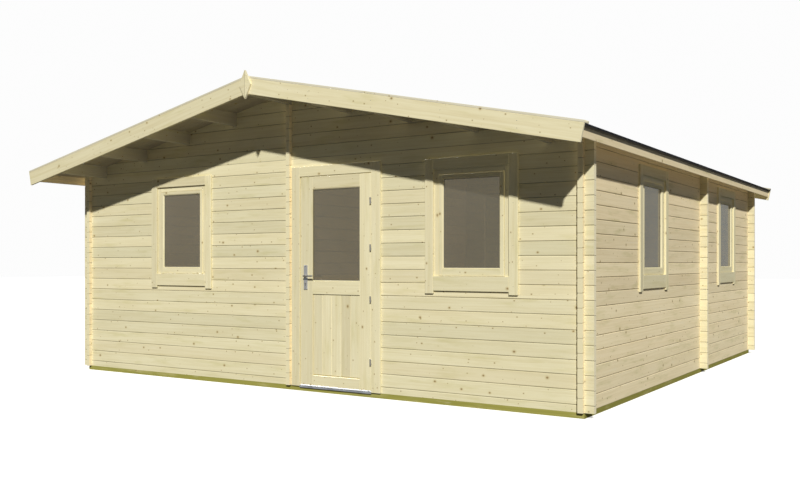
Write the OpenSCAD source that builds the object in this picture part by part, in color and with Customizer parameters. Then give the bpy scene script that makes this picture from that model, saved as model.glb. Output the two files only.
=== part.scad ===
// Log cabin with a low gable roof, two log partitions and a half-glazed door.
// The front faces -Y, the ridge runs along Y, and the origin is on the ground
// under the middle of the roof. All sizes are in millimetres.

/* [Walls] */
// Width over the outer faces of the side walls
wall_w = 5844; // [5600:1:7200]
// Depth over the outer faces of the front and back walls
wall_d = 5940; // [4800:1:7200]
// Height of the side walls at their outer face, above the foundation
side_h = 2150; // [2110:1:2600]
// Thickness of a wall log
log_t = 44; // [34:1:70]
// Height of one course of logs
course = 115; // [95:1:140]
// Length of the log ends that pass the side walls
cross_end_out = 78; // [30:1:120]
// Length of the log ends that pass the front, back and cross walls
long_end_out = 34; // [20:1:100]
// Width of the bevelled groove between two courses
groove_w = 12; // [6:1:20]
// Depth of the bevelled groove between two courses
groove_d = 5; // [2:1:8]
// Clear depth of the rear room
rear_room = 2420; // [1800:10:2800]

/* [Foundation and floor] */
// Height of the foundation beams
beam_h = 45; // [40:1:90]
// Width of the foundation beams
beam_w = 70; // [60:1:120]
// Width of a floor joist
joist_w = 58; // [40:1:80]
// Largest spacing between joists
joist_pitch = 560; // [400:10:700]
// Thickness of the floor boards
floor_t = 28; // [18:1:32]
// Movement gap around the floor boards
floor_gap = 6; // [2:1:12]

/* [Roof] */
// Pitch of the roof in degrees
pitch = 12; // [8:0.5:20]
// Overhang of the roof past the side walls
eaves_out = 200; // [120:5:350]
// Overhang of the roof past the front wall
front_out = 600; // [300:10:900]
// Overhang of the roof past the back wall
back_out = 260; // [150:10:600]
// Thickness of the roof boards
board_t = 20; // [16:1:28]
// Thickness of the roofing felt
felt_t = 5; // [3:1:8]
// Overhang of the felt past the edge of the roof boards
felt_out = 28; // [10:1:40]
// Height of the felt's turned-down edge
felt_lip = 8; // [4:1:16]
// Width of a purlin
purlin_w = 45; // [35:1:70]
// Depth of a purlin
purlin_h = 125; // [90:1:160]
// Distance from the ridge to the first purlin beside it
purlin_first = 700; // [500:10:800]
// Number of purlins on each slope
purlin_count = 4; // [2:1:4]
// Distance from the last purlin to the inner face of the side wall
purlin_last = 240; // [150:10:400]

/* [Gable trim] */
// Width of a bargeboard
barge_w = 140; // [100:1:200]
// Thickness of a bargeboard
barge_t = 20; // [16:1:30]
// Width of the cap board on the roof edge
cap_w = 90; // [60:1:140]
// Thickness of the cap board
cap_t = 18; // [14:1:28]
// Width of the diamond at the apex
diamond_w = 134; // [100:1:200]
// Height of the diamond at the apex
diamond_h = 260; // [200:1:360]
// Height of the board under the eaves
fascia_h = 75; // [50:1:120]
// Thickness of the board under the eaves
fascia_t = 18; // [14:1:28]
// Width of the batten behind the board under the eaves
batten_w = 28; // [20:1:45]
// Height of the batten behind the board under the eaves
batten_h = 45; // [30:1:60]

/* [Door] */
// Width of the door leaf
leaf_w = 800; // [700:5:900]
// Height of the door leaf
leaf_h = 1933; // [1850:1:1950]
// Thickness of the door leaf
leaf_t = 40; // [34:1:60]
// Distance from the middle partition to the left casing of the door
door_from_partition = 15; // [4:1:40]
// Gap between the leaf and the frame on the hinge side, at the top and at the bottom
leaf_gap = 5; // [5:0.5:8]
// Gap between the leaf and the frame on the lock side
lock_gap = 8; // [8:0.5:12]
// Distance that the leaf stands out from the wall
leaf_out = 12; // [5:1:18]
// Width of the lock stile
lock_stile = 139; // [110:1:160]
// Width of the hinge stile
hinge_stile = 125; // [100:1:150]
// Height of the bottom rail
bottom_rail = 99; // [80:1:160]
// Height of the middle rail
middle_rail = 129; // [100:1:180]
// Height of the top rail
top_rail = 123; // [100:1:160]
// Height of the boarded panel
panel_h = 746; // [500:1:800]
// Thickness of the boarded panel
panel_t = 16; // [12:1:24]
// Thickness of a door frame member
jamb_t = 40; // [30:1:60]
// Height of the metal threshold's top above the foundation
threshold_up = 12; // [8:1:20]

/* [Windows] */
// Width between the side casings of a window
window_w = 706; // [600:2:900]
// Height of the underside of the header above the foundation
window_top = 1941; // [1900:1:1960]
// Height of the bottom edge of the bottom board above the foundation
window_bottom = 916; // [850:1:1000]
// Height of the bottom board
bottom_board = 126; // [90:1:160]
// Visible width of the window frame
frame_face = 49; // [40:1:60]
// Distance that the window frame reaches under the casing
frame_lap = 12; // [8:1:16]
// Width of a sash stile
sash_stile = 42; // [35:1:60]
// Height of the bottom rail of a sash
sash_bottom = 68; // [50:1:90]
// Height of the top rail of a sash
sash_top = 38; // [30:1:60]
// Gap between a sash and its frame
sash_gap = 3; // [2:0.5:5]
// Thickness of a sash
sash_t = 34; // [28:1:36]
// Thickness of the glazing
glass_t = 6; // [4:1:20]
// Distance from the middle of the right front window to the corner of the walls
window_from_corner = 985; // [700:5:1100]
// Distance from the cross partition to the middle of the rear side window
rear_window_at = 1157; // [800:1:1300]

/* [Casings] */
// Width of a window casing
casing_w = 80; // [60:1:100]
// Width of a door casing
door_casing_w = 97; // [80:1:110]
// Height of a header board
header_h = 92; // [70:1:110]
// Thickness of the casings on the outside
casing_t = 20; // [14:1:28]
// Thickness of the casings on the inside
lining_t = 14; // [10:1:20]
// Length of the side casings below the bottom board
casing_tail = 25; // [10:1:40]

/* [Partitions] */
// Width of the doorways between the rooms
doorway_w = 820; // [700:10:900]
// Height of the doorways above the floor boards
doorway_h = 1940; // [1850:10:2000]
// Distance from the front wall to the doorway in the middle partition
middle_doorway_at = 1900; // [600:10:2000]
// Distance from the middle partition to the doorway in the cross partition
cross_doorway_at = 250; // [200:10:1200]

/* [Fittings] */
// Radius of a hinge barrel
hinge_r = 7; // [6:0.5:9]
// Length of a hinge barrel
hinge_l = 56; // [50:1:120]
// Heights of the hinges above the foundation
hinge_heights = [271, 828, 1288, 1704];
// Width of a lock plate
plate_w = 45; // [36:1:60]
// Height of a lock plate
plate_h = 229; // [180:1:260]
// Thickness of a lock plate
plate_t = 8; // [6:1:12]
// Distance from the edge of the leaf to the spindle
backset = 63; // [50:1:80]
// Height of the spindle above the foundation
spindle_up = 1030; // [950:1:1100]
// Length of a lever
lever_l = 115; // [100:1:140]
// Radius of a lever
lever_r = 9; // [7:0.5:12]
// Distance from a lock plate to the middle of its lever
lever_out = 42; // [36:1:60]
// Radius of the spindle
spindle_r = 5; // [4:0.5:6]

/* [Hidden] */
$fn = 48;
eps = 0.5;
far = 9000;

wood = "#e3d3ab";
green_wood = "#8c9137";
black = "#26262a";
steel = "#a8a9ab";
pane = "#8fa3a8";

half_w = wall_w / 2;
front_y = -(wall_d + front_out + back_out) / 2 + front_out;
back_y = front_y + wall_d;
slope = tan(pitch);
ridge_under = side_h + half_w * slope;
roof_half = half_w + eaves_out;
// Play between pieces that meet on the slope of the roof
seat = 0.2;
board_top = seat + board_t / cos(pitch);
felt_top = board_top + seat + felt_t / cos(pitch);
roof_front = front_y - front_out;
roof_back = back_y + back_out;
quarter = course / 4;
// Height of the joint where the gables start
gable_joint = (floor((side_h - cross_end_out * slope) / course + 0.5) - 0.5) * course;
cross_y = back_y - log_t - rear_room - log_t;
middle_doorway = front_y + log_t + middle_doorway_at;

// Door: the leaf is hung on its right edge
casing_left = log_t / 2 + door_from_partition;
leaf_left = casing_left + door_casing_w + lock_gap;
leaf_right = leaf_left + leaf_w;
leaf_bottom = threshold_up + leaf_gap;
leaf_top = leaf_bottom + leaf_h;
door_left = casing_left + door_casing_w - jamb_t;
door_right = leaf_right + leaf_gap + jamb_t;
door_head = leaf_top + leaf_gap;
leaf_front = front_y - leaf_out;
leaf_back = leaf_front + leaf_t;
stop_gap = 5;
stop_face = 15;
hinge_x = leaf_right + leaf_gap / 2;
hinge_y = front_y - casing_t - hinge_r - 1;
hinge_play = 0.3;
panel_bottom = leaf_bottom + bottom_rail;
pane_bottom = panel_bottom + panel_h + middle_rail;
pane_top = leaf_top - top_rail;
spindle_x = leaf_left + backset;

// Windows
sash_w = window_w - 2 * frame_face;
sash_low = window_bottom + bottom_board;
sash_high = window_top - frame_face;
frame_low = sash_low - frame_face - frame_lap;
frame_high = window_top + frame_lap;
window_y = [(front_y + log_t + cross_y) / 2, cross_y + log_t + rear_window_at];
window_x = [-(half_w - log_t / 2) / 2, half_w - window_from_corner];

// Joints between the courses, from the first one up to a height
function joints(first, high) = [for (z = first; z < high - groove_w; z = z + course) if (z > groove_w) z];

// Outline of a stack of logs: thickness along x, height along y
function log_outline(first, low, high) = concat(
    [[0, low]],
    [for (z = joints(first, high)) if (z > low + groove_w)
        each [[0, z - groove_w / 2], [groove_d, z], [0, z + groove_w / 2]]],
    [[0, high], [log_t, high]],
    [for (z = reversed(joints(first, high))) if (z > low + groove_w)
        each [[log_t, z + groove_w / 2], [log_t - groove_d, z], [log_t, z - groove_w / 2]]],
    [[log_t, low]]
);

function reversed(list) = [for (i = [len(list) - 1 : -1 : 0]) list[i]];

// Logs that run along X, from one x to another
module x_logs(from, to, low, high) {
    translate([from, 0, 0]) rotate([90, 0, 90])
        linear_extrude(to - from) polygon(log_outline(course / 2, low, high));
}

// Logs that run along Y, from one y to another
module y_logs(from, to, low, high) {
    translate([0, to, 0]) rotate([90, 0, 0])
        linear_extrude(to - from) polygon(log_outline(course, low, high));
}

// Notches that a wall of x logs needs where y logs cross it at x
module notches_for_y_logs(x, high) {
    for (k = [0 : top_of(high)])
        translate([x, -eps, k * course + quarter])
            cube([log_t, log_t + 2 * eps, (k == top_of(high) ? 8 : 2) * quarter]);
}

// Notches that a wall of y logs needs where x logs cross it at y
module notches_for_x_logs(y, high) {
    for (k = [0 : top_of(high)])
        translate([-eps, y, k * course - quarter])
            cube([log_t + 2 * eps, log_t, 2 * quarter]);
}

function top_of(high) = floor(high / course);

// Everything under the roof, as a prism from one y to another
module under_roof(from, to) {
    translate([0, to, 0]) rotate([90, 0, 0]) linear_extrude(to - from)
        polygon([[-far / 2, -1], [far / 2, -1],
                 [far / 2, ridge_under - far / 2 * slope], [0, ridge_under],
                 [-far / 2, ridge_under - far / 2 * slope]]);
}

// Section of one purlin, its top bevelled to the roof
module purlin_section(x) {
    a = x - purlin_w / 2;
    b = x + purlin_w / 2;
    low = min(roof_under(a), roof_under(b)) - purlin_h + purlin_w * slope;
    polygon(x == 0
        ? [[a, ridge_under - purlin_h], [b, ridge_under - purlin_h],
           [b, roof_under(b)], [0, ridge_under], [a, roof_under(a)]]
        : [[a, low], [b, low], [b, roof_under(b)], [a, roof_under(a)]]);
}

function roof_under(x) = ridge_under - abs(x) * slope;

function purlin_x(i) = purlin_first
    + i * (half_w - log_t - purlin_last - purlin_first) / (purlin_count - 1);

module purlins(sides, from, to) {
    translate([0, to, 0]) rotate([90, 0, 0]) linear_extrude(to - from)
        for (side = sides)
            if (side == 0) purlin_section(0);
            else for (i = [0 : purlin_count - 1]) purlin_section(side * purlin_x(i));
}

// A bar of the roof's section: from one x to another, between two heights
// measured upright from the underside of the roof boards
module slope_bar(side, from, to, low, high, y_from, y_to) {
    translate([0, y_to, 0]) rotate([90, 0, 0]) linear_extrude(y_to - y_from)
        polygon([[side * from, roof_under(from) + low], [side * to, roof_under(to) + low],
                 [side * to, roof_under(to) + high], [side * from, roof_under(from) + high]]);
}

// A bar of the roof's section from the ridge to an end that is cut square to the slope,
// with the lower corner of that end at x = to
module square_bar(side, to, low, high, y_from, y_to) {
    top_to = to + (high - low) * cos(pitch) * sin(pitch);
    translate([0, y_to, 0]) rotate([90, 0, 0]) linear_extrude(y_to - y_from)
        polygon([[0, roof_under(0) + low], [side * to, roof_under(to) + low],
                 [side * top_to, roof_under(top_to) + high], [0, roof_under(0) + high]]);
}

// Puts a window's parts on the outer face of a wall: x along it, y inwards
module on_front(x) { translate([x, front_y, beam_h]) children(); }
module on_right(y) { translate([half_w, y, beam_h]) rotate([0, 0, 90]) children(); }

module box(x_from, x_to, y_from, y_to, z_from, z_to) {
    translate([x_from, y_from, z_from]) cube([x_to - x_from, y_to - y_from, z_to - z_from]);
}

// ---- Foundation and floor ----

module foundation_beams() {
    color(green_wood) {
        for (y = [front_y, back_y - beam_w]) box(-half_w, half_w, y, y + beam_w, 0, beam_h);
        for (x = [-half_w, half_w - beam_w]) box(x, x + beam_w, front_y, back_y, 0, beam_h);
        box(-half_w, half_w, cross_y + (log_t - beam_w) / 2, cross_y + (log_t + beam_w) / 2, 0, beam_h);
        box(-beam_w / 2, beam_w / 2, front_y, cross_y + log_t, 0, beam_h);
    }
}

module floor_joists() {
    clear = half_w - beam_w - beam_w / 2;
    count = ceil(clear / joist_pitch) - 1;
    step = clear / (count + 1);
    mid = cross_y + log_t / 2;
    color(green_wood)
        for (side = [-1, 1], i = [1 : count]) {
            x = side * (beam_w / 2 + i * step);
            box(x - joist_w / 2, x + joist_w / 2, front_y + beam_w, mid - beam_w / 2, 0, beam_h);
            box(x - joist_w / 2, x + joist_w / 2, mid + beam_w / 2, back_y - beam_w, 0, beam_h);
        }
}

module floor_boards() {
    inside = half_w - log_t - floor_gap;
    beside = log_t / 2 + floor_gap;
    front = front_y + log_t + floor_gap;
    color(wood) {
        for (side = [-1, 1])
            box(min(side * inside, side * beside), max(side * inside, side * beside),
                front, cross_y - floor_gap, beam_h, beam_h + floor_t);
        difference() {
            box(-inside, inside, cross_y + log_t + floor_gap, back_y - log_t - floor_gap,
                beam_h, beam_h + floor_t);
            box(-beside, beside, cross_y, cross_y + log_t + long_end_out + floor_gap,
                beam_h - 1, beam_h + floor_t + 1);
        }
        // The strip in the doorway between the two front rooms
        box(-log_t / 2, log_t / 2, middle_doorway, middle_doorway + doorway_w, beam_h, beam_h + floor_t);
    }
}

// ---- Log walls ----

module front_logs(from, to, low, high) {
    translate([0, front_y, beam_h]) difference() {
        x_logs(from, to, low, high);
        notches_for_y_logs(-half_w, side_h);
        notches_for_y_logs(half_w - log_t, side_h);
        notches_for_y_logs(-log_t / 2, ridge_under - purlin_h);
        purlins([-1, 0, 1], -1, log_t + 1);
    }
}

module front_wall_left() {
    color(wood) difference() {
        front_logs(-half_w - cross_end_out, door_left, 0, gable_joint);
        on_front(window_x[0]) window_hole();
    }
}

module front_wall_right() {
    color(wood) difference() {
        front_logs(door_right, half_w + cross_end_out, 0, gable_joint);
        on_front(window_x[1]) window_hole();
    }
}

module front_wall_over_door() {
    color(wood) front_logs(door_left, door_right, door_head + jamb_t, gable_joint);
}

module gable(y, inner) {
    difference() {
        intersection() {
            translate([0, y, beam_h]) difference() {
                x_logs(-half_w - cross_end_out, half_w + cross_end_out, gable_joint, ridge_under);
                notches_for_y_logs(-half_w, side_h);
                notches_for_y_logs(half_w - log_t, side_h);
                if (inner) notches_for_y_logs(-log_t / 2, ridge_under - purlin_h);
            }
            translate([0, 0, beam_h]) under_roof(y - 1, y + log_t + 1);
        }
        translate([0, 0, beam_h]) purlins([-1, 0, 1], y - 1, y + log_t + 1);
    }
}

module front_gable() { color(wood) gable(front_y, true); }

module back_gable() { color(wood) gable(back_y - log_t, false); }

module back_wall() {
    color(wood) translate([0, back_y - log_t, beam_h]) difference() {
        x_logs(-half_w - cross_end_out, half_w + cross_end_out, 0, gable_joint);
        notches_for_y_logs(-half_w, side_h);
        notches_for_y_logs(half_w - log_t, side_h);
        purlins([-1, 0, 1], -1, log_t + 1);
    }
}

// A side wall, with its outer face on the given side
module side_wall(side) {
    x = side > 0 ? half_w - log_t : -half_w;
    intersection() {
        translate([x, 0, beam_h]) difference() {
            y_logs(front_y - long_end_out, back_y + long_end_out, 0, side_h + log_t);
            for (y = [front_y, cross_y, back_y - log_t]) notches_for_x_logs(y, side_h);
        }
        translate([0, 0, beam_h]) under_roof(front_y - far / 4, back_y + far / 4);
    }
}

module right_wall() {
    color(wood) difference() {
        side_wall(1);
        for (y = window_y) on_right(y) window_hole();
    }
}

module left_wall() { color(wood) side_wall(-1); }

// Logs of the middle partition, from one y to another and from a height up to the ridge purlin
module middle_logs(from, to, low) {
    high = ridge_under - purlin_h;
    color(wood) translate([-log_t / 2, 0, beam_h]) difference() {
        y_logs(from, to, low, high);
        for (y = [front_y, cross_y]) notches_for_x_logs(y, high);
    }
}

module middle_partition_front() { middle_logs(front_y - long_end_out, middle_doorway, 0); }

module middle_partition_rear() {
    middle_logs(middle_doorway + doorway_w, cross_y + log_t + long_end_out, 0);
}

module middle_partition_head() {
    middle_logs(middle_doorway, middle_doorway + doorway_w, floor_t + doorway_h);
}

module cross_partition() {
    color(wood) difference() {
        intersection() {
            translate([0, cross_y, beam_h]) difference() {
                x_logs(-half_w - cross_end_out, half_w + cross_end_out, 0, ridge_under);
                notches_for_y_logs(-half_w, side_h);
                notches_for_y_logs(half_w - log_t, side_h);
                notches_for_y_logs(-log_t / 2, ridge_under - purlin_h);
            }
            translate([0, 0, beam_h]) under_roof(cross_y - 1, cross_y + log_t + 1);
        }
        translate([0, 0, beam_h]) purlins([-1, 0, 1], cross_y - 1, cross_y + log_t + 1);
        doorway = log_t / 2 + cross_doorway_at;
        box(doorway, doorway + doorway_w, cross_y - 1, cross_y + log_t + 1,
            beam_h + floor_t, beam_h + floor_t + doorway_h);
    }
}

// ---- Roof ----

module ridge_purlin() {
    color(wood) translate([0, 0, beam_h]) purlins([0], roof_front + barge_t, roof_back - barge_t);
}

module side_purlins() {
    color(wood) translate([0, 0, beam_h]) purlins([-1, 1], roof_front + barge_t, roof_back - barge_t);
}

module roof_boards(side) {
    color(wood) translate([0, 0, beam_h])
        slope_bar(side, 0, roof_half, seat, board_top, roof_front + barge_t, roof_back - barge_t);
}

module left_roof_boards() { roof_boards(-1); }
module right_roof_boards() { roof_boards(1); }

// Felt over the boards, with a turned-down drip edge past the eaves
module felt(side) {
    color(black) translate([0, 0, beam_h]) {
        slope_bar(side, 0, roof_half + felt_out, board_top + seat, felt_top,
            roof_front + barge_t, roof_back - barge_t);
        slope_bar(side, roof_half + felt_out - felt_t, roof_half + felt_out,
            board_top + seat - felt_lip, felt_top, roof_front + barge_t, roof_back - barge_t);
    }
}

module left_felt() { felt(-1); }
module right_felt() { felt(1); }

module bargeboards(y) {
    color(wood) translate([0, 0, beam_h])
        for (side = [-1, 1])
            square_bar(side, roof_half, felt_top - barge_w / cos(pitch), felt_top, y, y + barge_t);
}

module front_bargeboards() { bargeboards(roof_front); }
module back_bargeboards() { bargeboards(roof_back - barge_t); }

module cap_boards(y) {
    low = felt_top + seat;
    color(wood) translate([0, 0, beam_h])
        for (side = [-1, 1])
            square_bar(side, roof_half + barge_w * sin(pitch), low, low + cap_t / cos(pitch), y, y + cap_w);
}

module front_cap_boards() { cap_boards(roof_front); }
module back_cap_boards() { cap_boards(roof_back - cap_w); }

module diamonds() {
    middle = beam_h + ridge_under - 38;
    color(wood)
        for (y = [roof_front, roof_back + barge_t])
            translate([0, y, middle]) rotate([90, 0, 0]) linear_extrude(barge_t)
                polygon([[-diamond_w / 2, 0], [0, -diamond_h / 2], [diamond_w / 2, 0], [0, diamond_h / 2]]);
}

// The boards under the eaves, each nailed to a batten under the roof boards
module fascias() {
    inner = roof_half - fascia_t;
    color(wood) translate([0, 0, beam_h])
        for (side = [-1, 1]) {
            slope_bar(side, inner, roof_half, -fascia_h, 0, roof_front + barge_t, roof_back - barge_t);
            slope_bar(side, inner - batten_w, inner, -batten_h, 0, roof_front + barge_t, roof_back - barge_t);
        }
}

// ---- Windows: x along the wall, y inwards from its outer face ----

module window_hole() {
    half = window_w / 2 + frame_lap;
    box(-half, half, -1, log_t + 1, frame_low, frame_high);
}

module window_frame() {
    half = window_w / 2 + frame_lap;
    light = sash_w / 2 + sash_gap;
    inner = light - stop_face;
    difference() {
        box(-half, half, 0, log_t, frame_low, frame_high);
        box(-light, light, -1, sash_t, sash_low - sash_gap, sash_high + sash_gap);
        box(-inner, inner, -1, log_t + 1,
            sash_low - sash_gap + stop_face, sash_high + sash_gap - stop_face);
    }
}

module window_casing() {
    inner = window_w / 2;
    outer = inner + casing_w;
    for (side = [-1, 1])
        box(side > 0 ? inner : -outer, side > 0 ? outer : -inner, -casing_t, 0,
            window_bottom - casing_tail, window_top + header_h);
    box(-inner, inner, -casing_t, 0, window_bottom, sash_low);
    box(-inner, inner, -casing_t, 0, window_top, window_top + header_h);
    lining = inner - frame_face / 2;
    difference() {
        box(-outer, outer, log_t, log_t + lining_t, frame_low - casing_w + frame_lap, window_top + casing_w);
        box(-inner, inner, log_t - 1, log_t + lining_t + 1, frame_low + frame_lap, window_top);
    }
}

module window_sash() {
    half = sash_w / 2;
    light = half - sash_stile;
    difference() {
        box(-half, half, 0, sash_t, sash_low, sash_high);
        box(-light, light, -1, sash_t + 1, sash_low + sash_bottom, sash_high - sash_top);
    }
}

module window_glass() {
    light = sash_w / 2 - sash_stile;
    middle = (sash_t - glass_t) / 2;
    box(-light, light, middle, middle + glass_t, sash_low + sash_bottom, sash_high - sash_top);
}

module front_window_frames() { color(wood) for (x = window_x) on_front(x) window_frame(); }
module front_window_casings() { color(wood) for (x = window_x) on_front(x) window_casing(); }
module front_window_sashes() { color(wood) for (x = window_x) on_front(x) window_sash(); }
module front_window_glass() { color(pane) for (x = window_x) on_front(x) window_glass(); }
module side_window_frames() { color(wood) for (y = window_y) on_right(y) window_frame(); }
module side_window_casings() { color(wood) for (y = window_y) on_right(y) window_casing(); }
module side_window_sashes() { color(wood) for (y = window_y) on_right(y) window_sash(); }
module side_window_glass() { color(pane) for (y = window_y) on_right(y) window_glass(); }

// ---- Door ----

module door_frame() {
    stop_y = leaf_back + stop_gap;
    inner_left = door_left + jamb_t;
    inner_right = door_right - jamb_t;
    color(wood) translate([0, 0, beam_h]) difference() {
        box(door_left, door_right, front_y, front_y + log_t, 0, door_head + jamb_t);
        box(inner_left, inner_right, front_y - 1, stop_y, threshold_up, door_head);
        box(inner_left + stop_face, inner_right - stop_face, front_y - 1, front_y + log_t + 1,
            floor_t + stop_face, door_head - stop_face);
        box(inner_left, inner_right, front_y - 1, stop_y, -1, threshold_up + 1);
    }
}

module door_casings() {
    inner_left = door_left + jamb_t;
    inner_right = door_right - jamb_t;
    outer_left = inner_left - door_casing_w;
    outer_right = inner_right + door_casing_w;
    color(wood) translate([0, front_y, beam_h]) {
        box(outer_left, inner_left, -casing_t, 0, 0, door_head + header_h);
        box(inner_right, outer_right, -casing_t, 0, 0, door_head + header_h);
        box(inner_left, inner_right, -casing_t, 0, door_head, door_head + header_h);
        difference() {
            box(outer_left, outer_right, log_t, log_t + lining_t, floor_t, door_head + header_h);
            box(inner_left, inner_right, log_t - 1, log_t + lining_t + 1, floor_t - 1, door_head);
        }
    }
}

// A metal strip over the front of the sill
module threshold() {
    stop_y = leaf_back + stop_gap;
    lip = 3;
    drop = 10;
    color(steel) translate([0, 0, beam_h]) {
        box(door_left + jamb_t, door_right - jamb_t, front_y - casing_t, stop_y, 0, threshold_up);
        box(door_left + jamb_t, door_right - jamb_t, front_y - casing_t, front_y - casing_t + lip,
            -drop, threshold_up);
    }
}

module door_leaf() {
    color(wood) translate([0, 0, beam_h]) difference() {
        box(leaf_left, leaf_right, leaf_front, leaf_back, leaf_bottom, leaf_top);
        box(leaf_left + lock_stile, leaf_right - hinge_stile, leaf_front - 1, leaf_back + 1,
            panel_bottom, panel_bottom + panel_h);
        box(leaf_left + lock_stile, leaf_right - hinge_stile, leaf_front - 1, leaf_back + 1,
            pane_bottom, pane_top);
        translate([spindle_x, leaf_back + 1, spindle_up]) rotate([90, 0, 0])
            cylinder(h = leaf_t + 2, r = spindle_r + 3);
    }
}

module door_panel() {
    middle = (leaf_front + leaf_back) / 2;
    color(wood) translate([0, 0, beam_h])
        box(leaf_left + lock_stile, leaf_right - hinge_stile, middle - panel_t / 2, middle + panel_t / 2,
            panel_bottom, panel_bottom + panel_h);
}

module door_glass() {
    middle = (leaf_front + leaf_back) / 2;
    color(pane) translate([0, 0, beam_h])
        box(leaf_left + lock_stile, leaf_right - hinge_stile, middle - glass_t / 2, middle + glass_t / 2,
            pane_bottom, pane_top);
}

// Half a screw-in hinge: a barrel, and a pin that runs back into the wood
module hinge_half(z, target_x, target_y) {
    pin_r = 3.5;
    translate([0, 0, z]) {
        cylinder(h = hinge_l / 2 - hinge_play, r = hinge_r);
        translate([target_x, 0, hinge_l / 4]) rotate([-90, 0, 0]) cylinder(h = target_y, r = pin_r);
    }
}

module frame_hinges() {
    color(steel) translate([hinge_x, hinge_y, beam_h])
        for (z = hinge_heights)
            hinge_half(z - hinge_l / 2, hinge_r - 1, hinge_r + 1);
}

module leaf_hinges() {
    color(steel) translate([hinge_x, hinge_y, beam_h])
        for (z = hinge_heights)
            hinge_half(z, -hinge_r + 1, leaf_front - hinge_y);
}

module lock_plates() {
    color(steel) translate([0, 0, beam_h])
        for (y = [leaf_front - plate_t, leaf_back]) difference() {
            box(spindle_x - plate_w / 2, spindle_x + plate_w / 2, y, y + plate_t,
                spindle_up + 101 - plate_h, spindle_up + 101);
            translate([spindle_x, y + plate_t + 1, spindle_up]) rotate([90, 0, 0])
                cylinder(h = plate_t + 2, r = spindle_r + 1);
        }
}

module lever(out) {
    neck = lever_out - 1;
    translate([0, out * (lever_out - neck / 2), 0]) rotate([90, 0, 0])
        cylinder(h = neck, r = lever_r, center = true);
    translate([0, out * lever_out, 0]) rotate([0, 90, 0]) cylinder(h = lever_l - lever_r, r = lever_r);
    translate([lever_l - lever_r, out * lever_out, 0]) sphere(r = lever_r);
    translate([0, out * lever_out, 0]) sphere(r = lever_r);
}

module door_levers() {
    color(steel) translate([spindle_x, 0, beam_h + spindle_up]) {
        translate([0, leaf_back + plate_t + lever_out / 2, 0]) rotate([90, 0, 0])
            cylinder(h = leaf_t + 2 * plate_t + lever_out, r = spindle_r);
        translate([0, leaf_front - plate_t, 0]) lever(-1);
        translate([0, leaf_back + plate_t, 0]) lever(1);
    }
}

foundation_beams();
floor_joists();
floor_boards();
front_wall_left();
front_wall_right();
front_wall_over_door();
front_gable();
right_wall();
left_wall();
back_wall();
back_gable();
middle_partition_front();
middle_partition_rear();
middle_partition_head();
cross_partition();
ridge_purlin();
side_purlins();
left_roof_boards();
right_roof_boards();
left_felt();
right_felt();
front_bargeboards();
back_bargeboards();
front_cap_boards();
back_cap_boards();
diamonds();
fascias();
front_window_frames();
front_window_casings();
front_window_sashes();
front_window_glass();
side_window_frames();
side_window_casings();
side_window_sashes();
side_window_glass();
door_frame();
door_casings();
threshold();
frame_hinges();
door_leaf();
door_panel();
door_glass();
leaf_hinges();
lock_plates();
door_levers();
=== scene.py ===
# %% [markdown]
# # A log cabin, dressed
# The cabin comes in as plain solids: walls, roof, windows, a door. This lesson
# gives each of them its real surface, and builds the joinery again board by board,
# because planed timber is read from its edges, its seams and its grain.
# Everything is in metres. +Z is up, the front faces -Y, and the ridge runs along Y.

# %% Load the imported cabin
import math
import random

import bmesh
import bpy
from mathutils import Matrix, Vector


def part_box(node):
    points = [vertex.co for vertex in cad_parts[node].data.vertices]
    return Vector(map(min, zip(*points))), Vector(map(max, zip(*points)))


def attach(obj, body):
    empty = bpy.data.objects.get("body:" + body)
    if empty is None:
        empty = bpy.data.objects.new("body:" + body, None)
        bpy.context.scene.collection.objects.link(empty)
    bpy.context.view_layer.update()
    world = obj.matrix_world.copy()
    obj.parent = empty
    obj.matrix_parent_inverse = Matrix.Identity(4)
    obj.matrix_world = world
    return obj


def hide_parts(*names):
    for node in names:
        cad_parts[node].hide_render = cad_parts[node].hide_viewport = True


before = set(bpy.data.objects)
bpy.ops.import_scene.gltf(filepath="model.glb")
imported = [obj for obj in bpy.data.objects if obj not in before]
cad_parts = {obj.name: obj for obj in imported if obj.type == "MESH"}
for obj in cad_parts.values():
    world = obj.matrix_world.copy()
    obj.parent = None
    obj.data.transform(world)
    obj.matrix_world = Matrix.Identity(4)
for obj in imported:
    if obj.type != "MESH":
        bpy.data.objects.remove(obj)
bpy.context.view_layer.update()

# %% [markdown]
# ## Where things are
# The frame knows where every part is. A few measures are read from it once, so
# that every board below is placed from the cabin itself. The gable's lowest edge
# lies 18 and a half courses above the foundation, which gives the course height.

# %% Measures read from the parts
beams_low, beams_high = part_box("foundation_beams")
WALL_RIGHT = beams_high.x
WALL_FRONT = beams_low.y
BEAM_TOP = beams_high.z
COURSES_TO_GABLE = 18.5
COURSE = (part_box("front_gable")[0].z - BEAM_TOP) / COURSES_TO_GABLE
LOG_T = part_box("front_wall_over_door")[1].y - WALL_FRONT
print("course", round(COURSE, 4), "log", round(LOG_T, 4), "foundation", round(BEAM_TOP, 4))

# %% [markdown]
# ## The camera
# A person of middling height stands off the right-hand front corner and looks
# level at the cabin, turned to the left. Because the camera is level, upright
# edges stay upright, and a small upward shift of the frame does the rest.

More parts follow.
